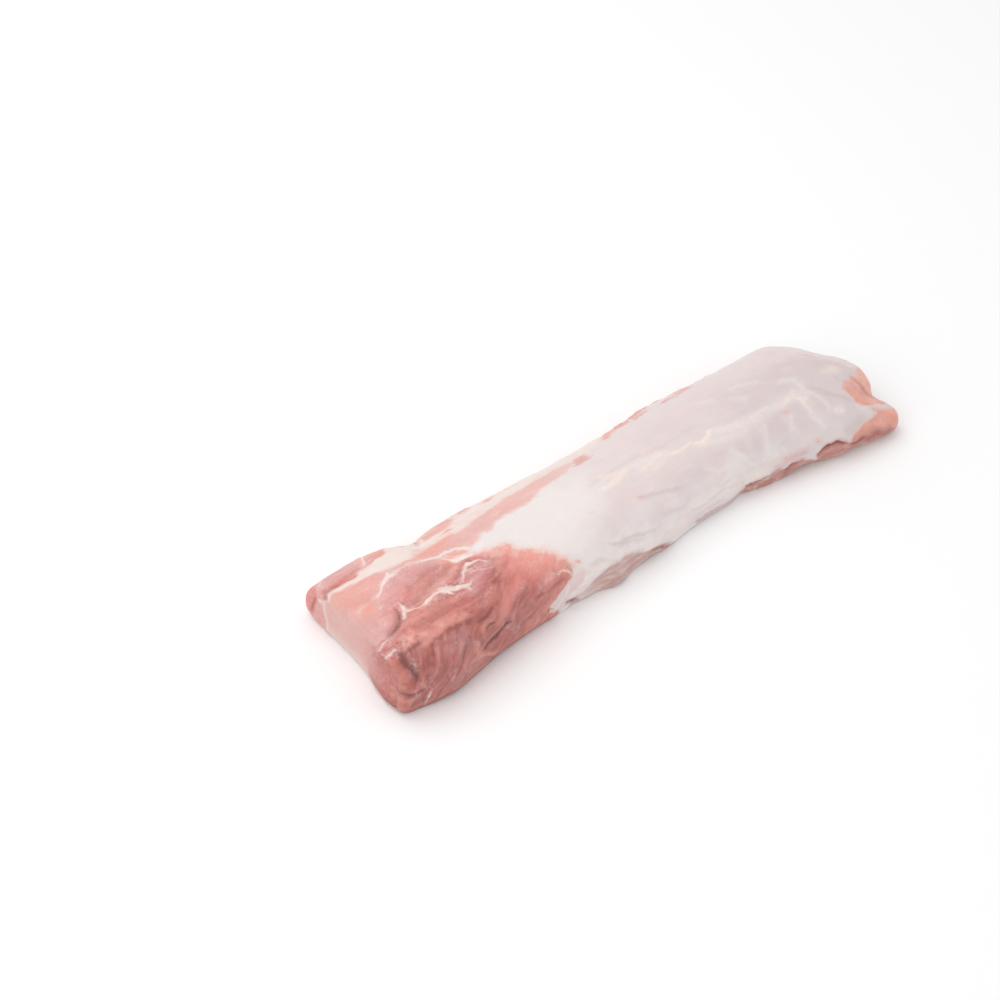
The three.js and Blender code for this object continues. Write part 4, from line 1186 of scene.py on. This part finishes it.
# Painted shade: the hollows are darkened, most on the lean meat.
hollow_shade_share = meat.step(hollow_shade, 0.1, 0.95) * (0.06 + 0.66 * lean) * (1 - 0.7 * far_rim)
colour = meat.mix(hollow_shade_share, colour, TONE_COLOURS["dark_and_shade"])
# Pale film and fat, broken by the speckle into painted glints.
pale_glint_share = meat.attribute("pale_and_glint") * meat.step(speckle * 0.5 + broken * 0.5, 0.36, 0.66) * 0.6
colour = meat.mix(pale_glint_share, colour, TONE_COLOURS["pale_and_glint"])
colour = meat.mix(region("skin_cord", 1.8, 3) * 0.4, colour, TONE_COLOURS["cream"])
colour = toned(colour, "cream", 0.75, 0.7)

# Loose tissue, fat threads, painted shade in the gaps and the fine strands of the fibres.
stringy = meat.step(bundles * 0.4 + speckle * 0.6, 0.45, 0.68)
colour = meat.mix(meat.attribute("tissue") * (0.06 + 0.45 * stringy), colour, TISSUE_PINK)
thread = meat.step(meat.attribute("fat_thread") + ragged * 3.0, -0.9, 1.5)
colour = meat.mix(thread * (0.4 + 0.85 * mottle), colour, THREAD_WHITE)
# Painted shade: the gaps are coloured dark brown.
gap_shade_share = meat.step(meat.attribute("gap") + ragged * 2, -1.6, 2.6) * 0.66
colour = meat.mix(gap_shade_share, colour, GAP_SHADE)
strand = fibres * (1 - front_share) + cap_fibres * front_share
colour = meat.mix(meat.step(strand, 0.42, 0.72) * (0.05 + 0.22 * lean), colour, STRAND_SHADE, "MULTIPLY")
colour = meat.mix(meat.step(strand, 0.42, 0.28) * 0.2 * lean, colour, STRAND_LIGHT)
colour = tinted(colour, SPECK_PINK, speckle, 0.5, 0.68, 0.14 - 0.07 * lean)

# The cap's front side, duller in colour and partly darkened with painted shade, the drier cut faces,
# and a thin film over everything.
front_shade = front_share * lean * (1 - meat.attribute("rim"))
front_shade = front_shade * (0.8 - 0.7 * meat.step(meat.attribute("along"), 105, 170))
colour = meat.mix(front_shade, colour, FRONT_SHADE_GREY, "MULTIPLY")
muted = face * (0.1 + 0.5 * mottle) * (1 - lean) * (1 - meat.step(meat.attribute("chain"), -1, 1))
colour = meat.mix(muted, colour, CUT_ROSE)
colour = meat.mix(face, colour, CUT_GREY, "MULTIPLY")
colour = meat.mix(face * meat.attribute("veil") * (0.5 + 0.6 * broken), colour, CUT_FILM)
film = meat.step(veins, 0.6, 1.0) * (0.07 - 0.03 * lean)
colour = meat.mix(film, colour, TONE_COLOURS["pale_and_glint"])

fine = (fibres * 0.2 * (1 - front_share) + cap_fibres * 0.6 * front_share * lean
        + crosswise * 0.2 * (1 - lean))
height = fine + bundles * 0.25 + mottle * 0.5 + speckle * 0.15
bump = meat.node("ShaderNodeBump", {}, {"Height": height, "Strength": 0.42, "Distance": 0.0013})
shell = meat.node("ShaderNodeBsdfPrincipled", {}, {
    "Base Color": colour, "Roughness": 0.38 + 0.18 * mottle, "Normal": bump,
    "Coat Weight": 0.12 + 0.26 * lean, "Coat Roughness": 0.15, "Subsurface Weight": 0.2,
    "Subsurface Radius": (1.0, 0.4, 0.28), "Subsurface Scale": 0.003, "IOR": 1.38})
meat.node("ShaderNodeOutputMaterial", {}, {"Surface": shell})
mesh.materials.append(meat.material)
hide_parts("pork_loin")
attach(loin, "root")


# ---- The table ----------------------------------------------------------------------------
# A plain matt white board, so wide that its edges are out of sight. The loin lies on it by its
# own weight.
FLOOR_SIZE = 60.0
TABLE_WHITE = (0.96, 0.96, 0.96, 1)
floor_mesh = bpy.data.meshes.new("table_top")
half = FLOOR_SIZE / 2
floor_corners = [(-half, -half, 0), (half, -half, 0), (half, half, 0), (-half, half, 0)]
floor_mesh.from_pydata(floor_corners, [], [(0, 1, 2, 3)])
table_top = bpy.data.objects.new("table_top", floor_mesh)
bpy.context.scene.collection.objects.link(table_top)
paint = Finish("white_table")
table_shell = paint.node("ShaderNodeBsdfPrincipled", {}, {"Base Color": TABLE_WHITE, "Roughness": 0.9})
paint.node("ShaderNodeOutputMaterial", {}, {"Surface": table_shell})
floor_mesh.materials.append(paint.material)


# ---- Light --------------------------------------------------------------------------------
# One large soft lamp hangs high behind the loin and a weaker one stands on the left. The room
# around them is bright and white, so the shadows are soft.
ROOM_BRIGHTNESS = 0.78


def soft_lamp(name, place, power, size):
    """A square soft lamp that points at the middle of the loin."""
    lamp = bpy.data.lights.new(name, "AREA")
    lamp.energy, lamp.size = power, size
    holder = bpy.data.objects.new(name, lamp)
    holder.location = place
    holder.rotation_euler = (-Vector(place)).to_track_quat("-Z", "Y").to_euler()
    bpy.context.scene.collection.objects.link(holder)


soft_lamp("top_softbox", (-0.3, 0.85, 2.1), 15, 1.8)
soft_lamp("left_softbox", (-1.8, -0.4, 1.3), 8, 1.4)
room = bpy.data.worlds.new("room")
room.use_nodes = True
room_light = room.node_tree.nodes["Background"]
room_light.inputs["Color"].default_value = (1, 1, 1, 1)
room_light.inputs["Strength"].default_value = ROOM_BRIGHTNESS
bpy.context.scene.world = room
bpy.context.scene.view_settings.view_transform = "Standard"


# ---- Camera -------------------------------------------------------------------------------
# It stands high in front, off to the left of the leg end, with a long lens, and looks down along
# the loin.
CAMERA_TURN, CAMERA_RISE = math.radians(-38.6), math.radians(45)
CAMERA_AWAY = 2.385
CAMERA_AIM = Vector((-0.0902, 0.0633, 0.03))
FOCAL_LENGTH, SENSOR_WIDTH = 90, 36
lens = bpy.data.cameras.new("camera")
lens.lens, lens.sensor_width = FOCAL_LENGTH, SENSOR_WIDTH
camera = bpy.data.objects.new("camera", lens)
back_to_camera = Vector((math.sin(CAMERA_TURN) * math.cos(CAMERA_RISE),
                         -math.cos(CAMERA_TURN) * math.cos(CAMERA_RISE), math.sin(CAMERA_RISE)))
camera.location = CAMERA_AIM + back_to_camera * CAMERA_AWAY
camera.rotation_euler = back_to_camera.to_track_quat("Z", "Y").to_euler()
bpy.context.scene.collection.objects.link(camera)
bpy.context.scene.camera = camera
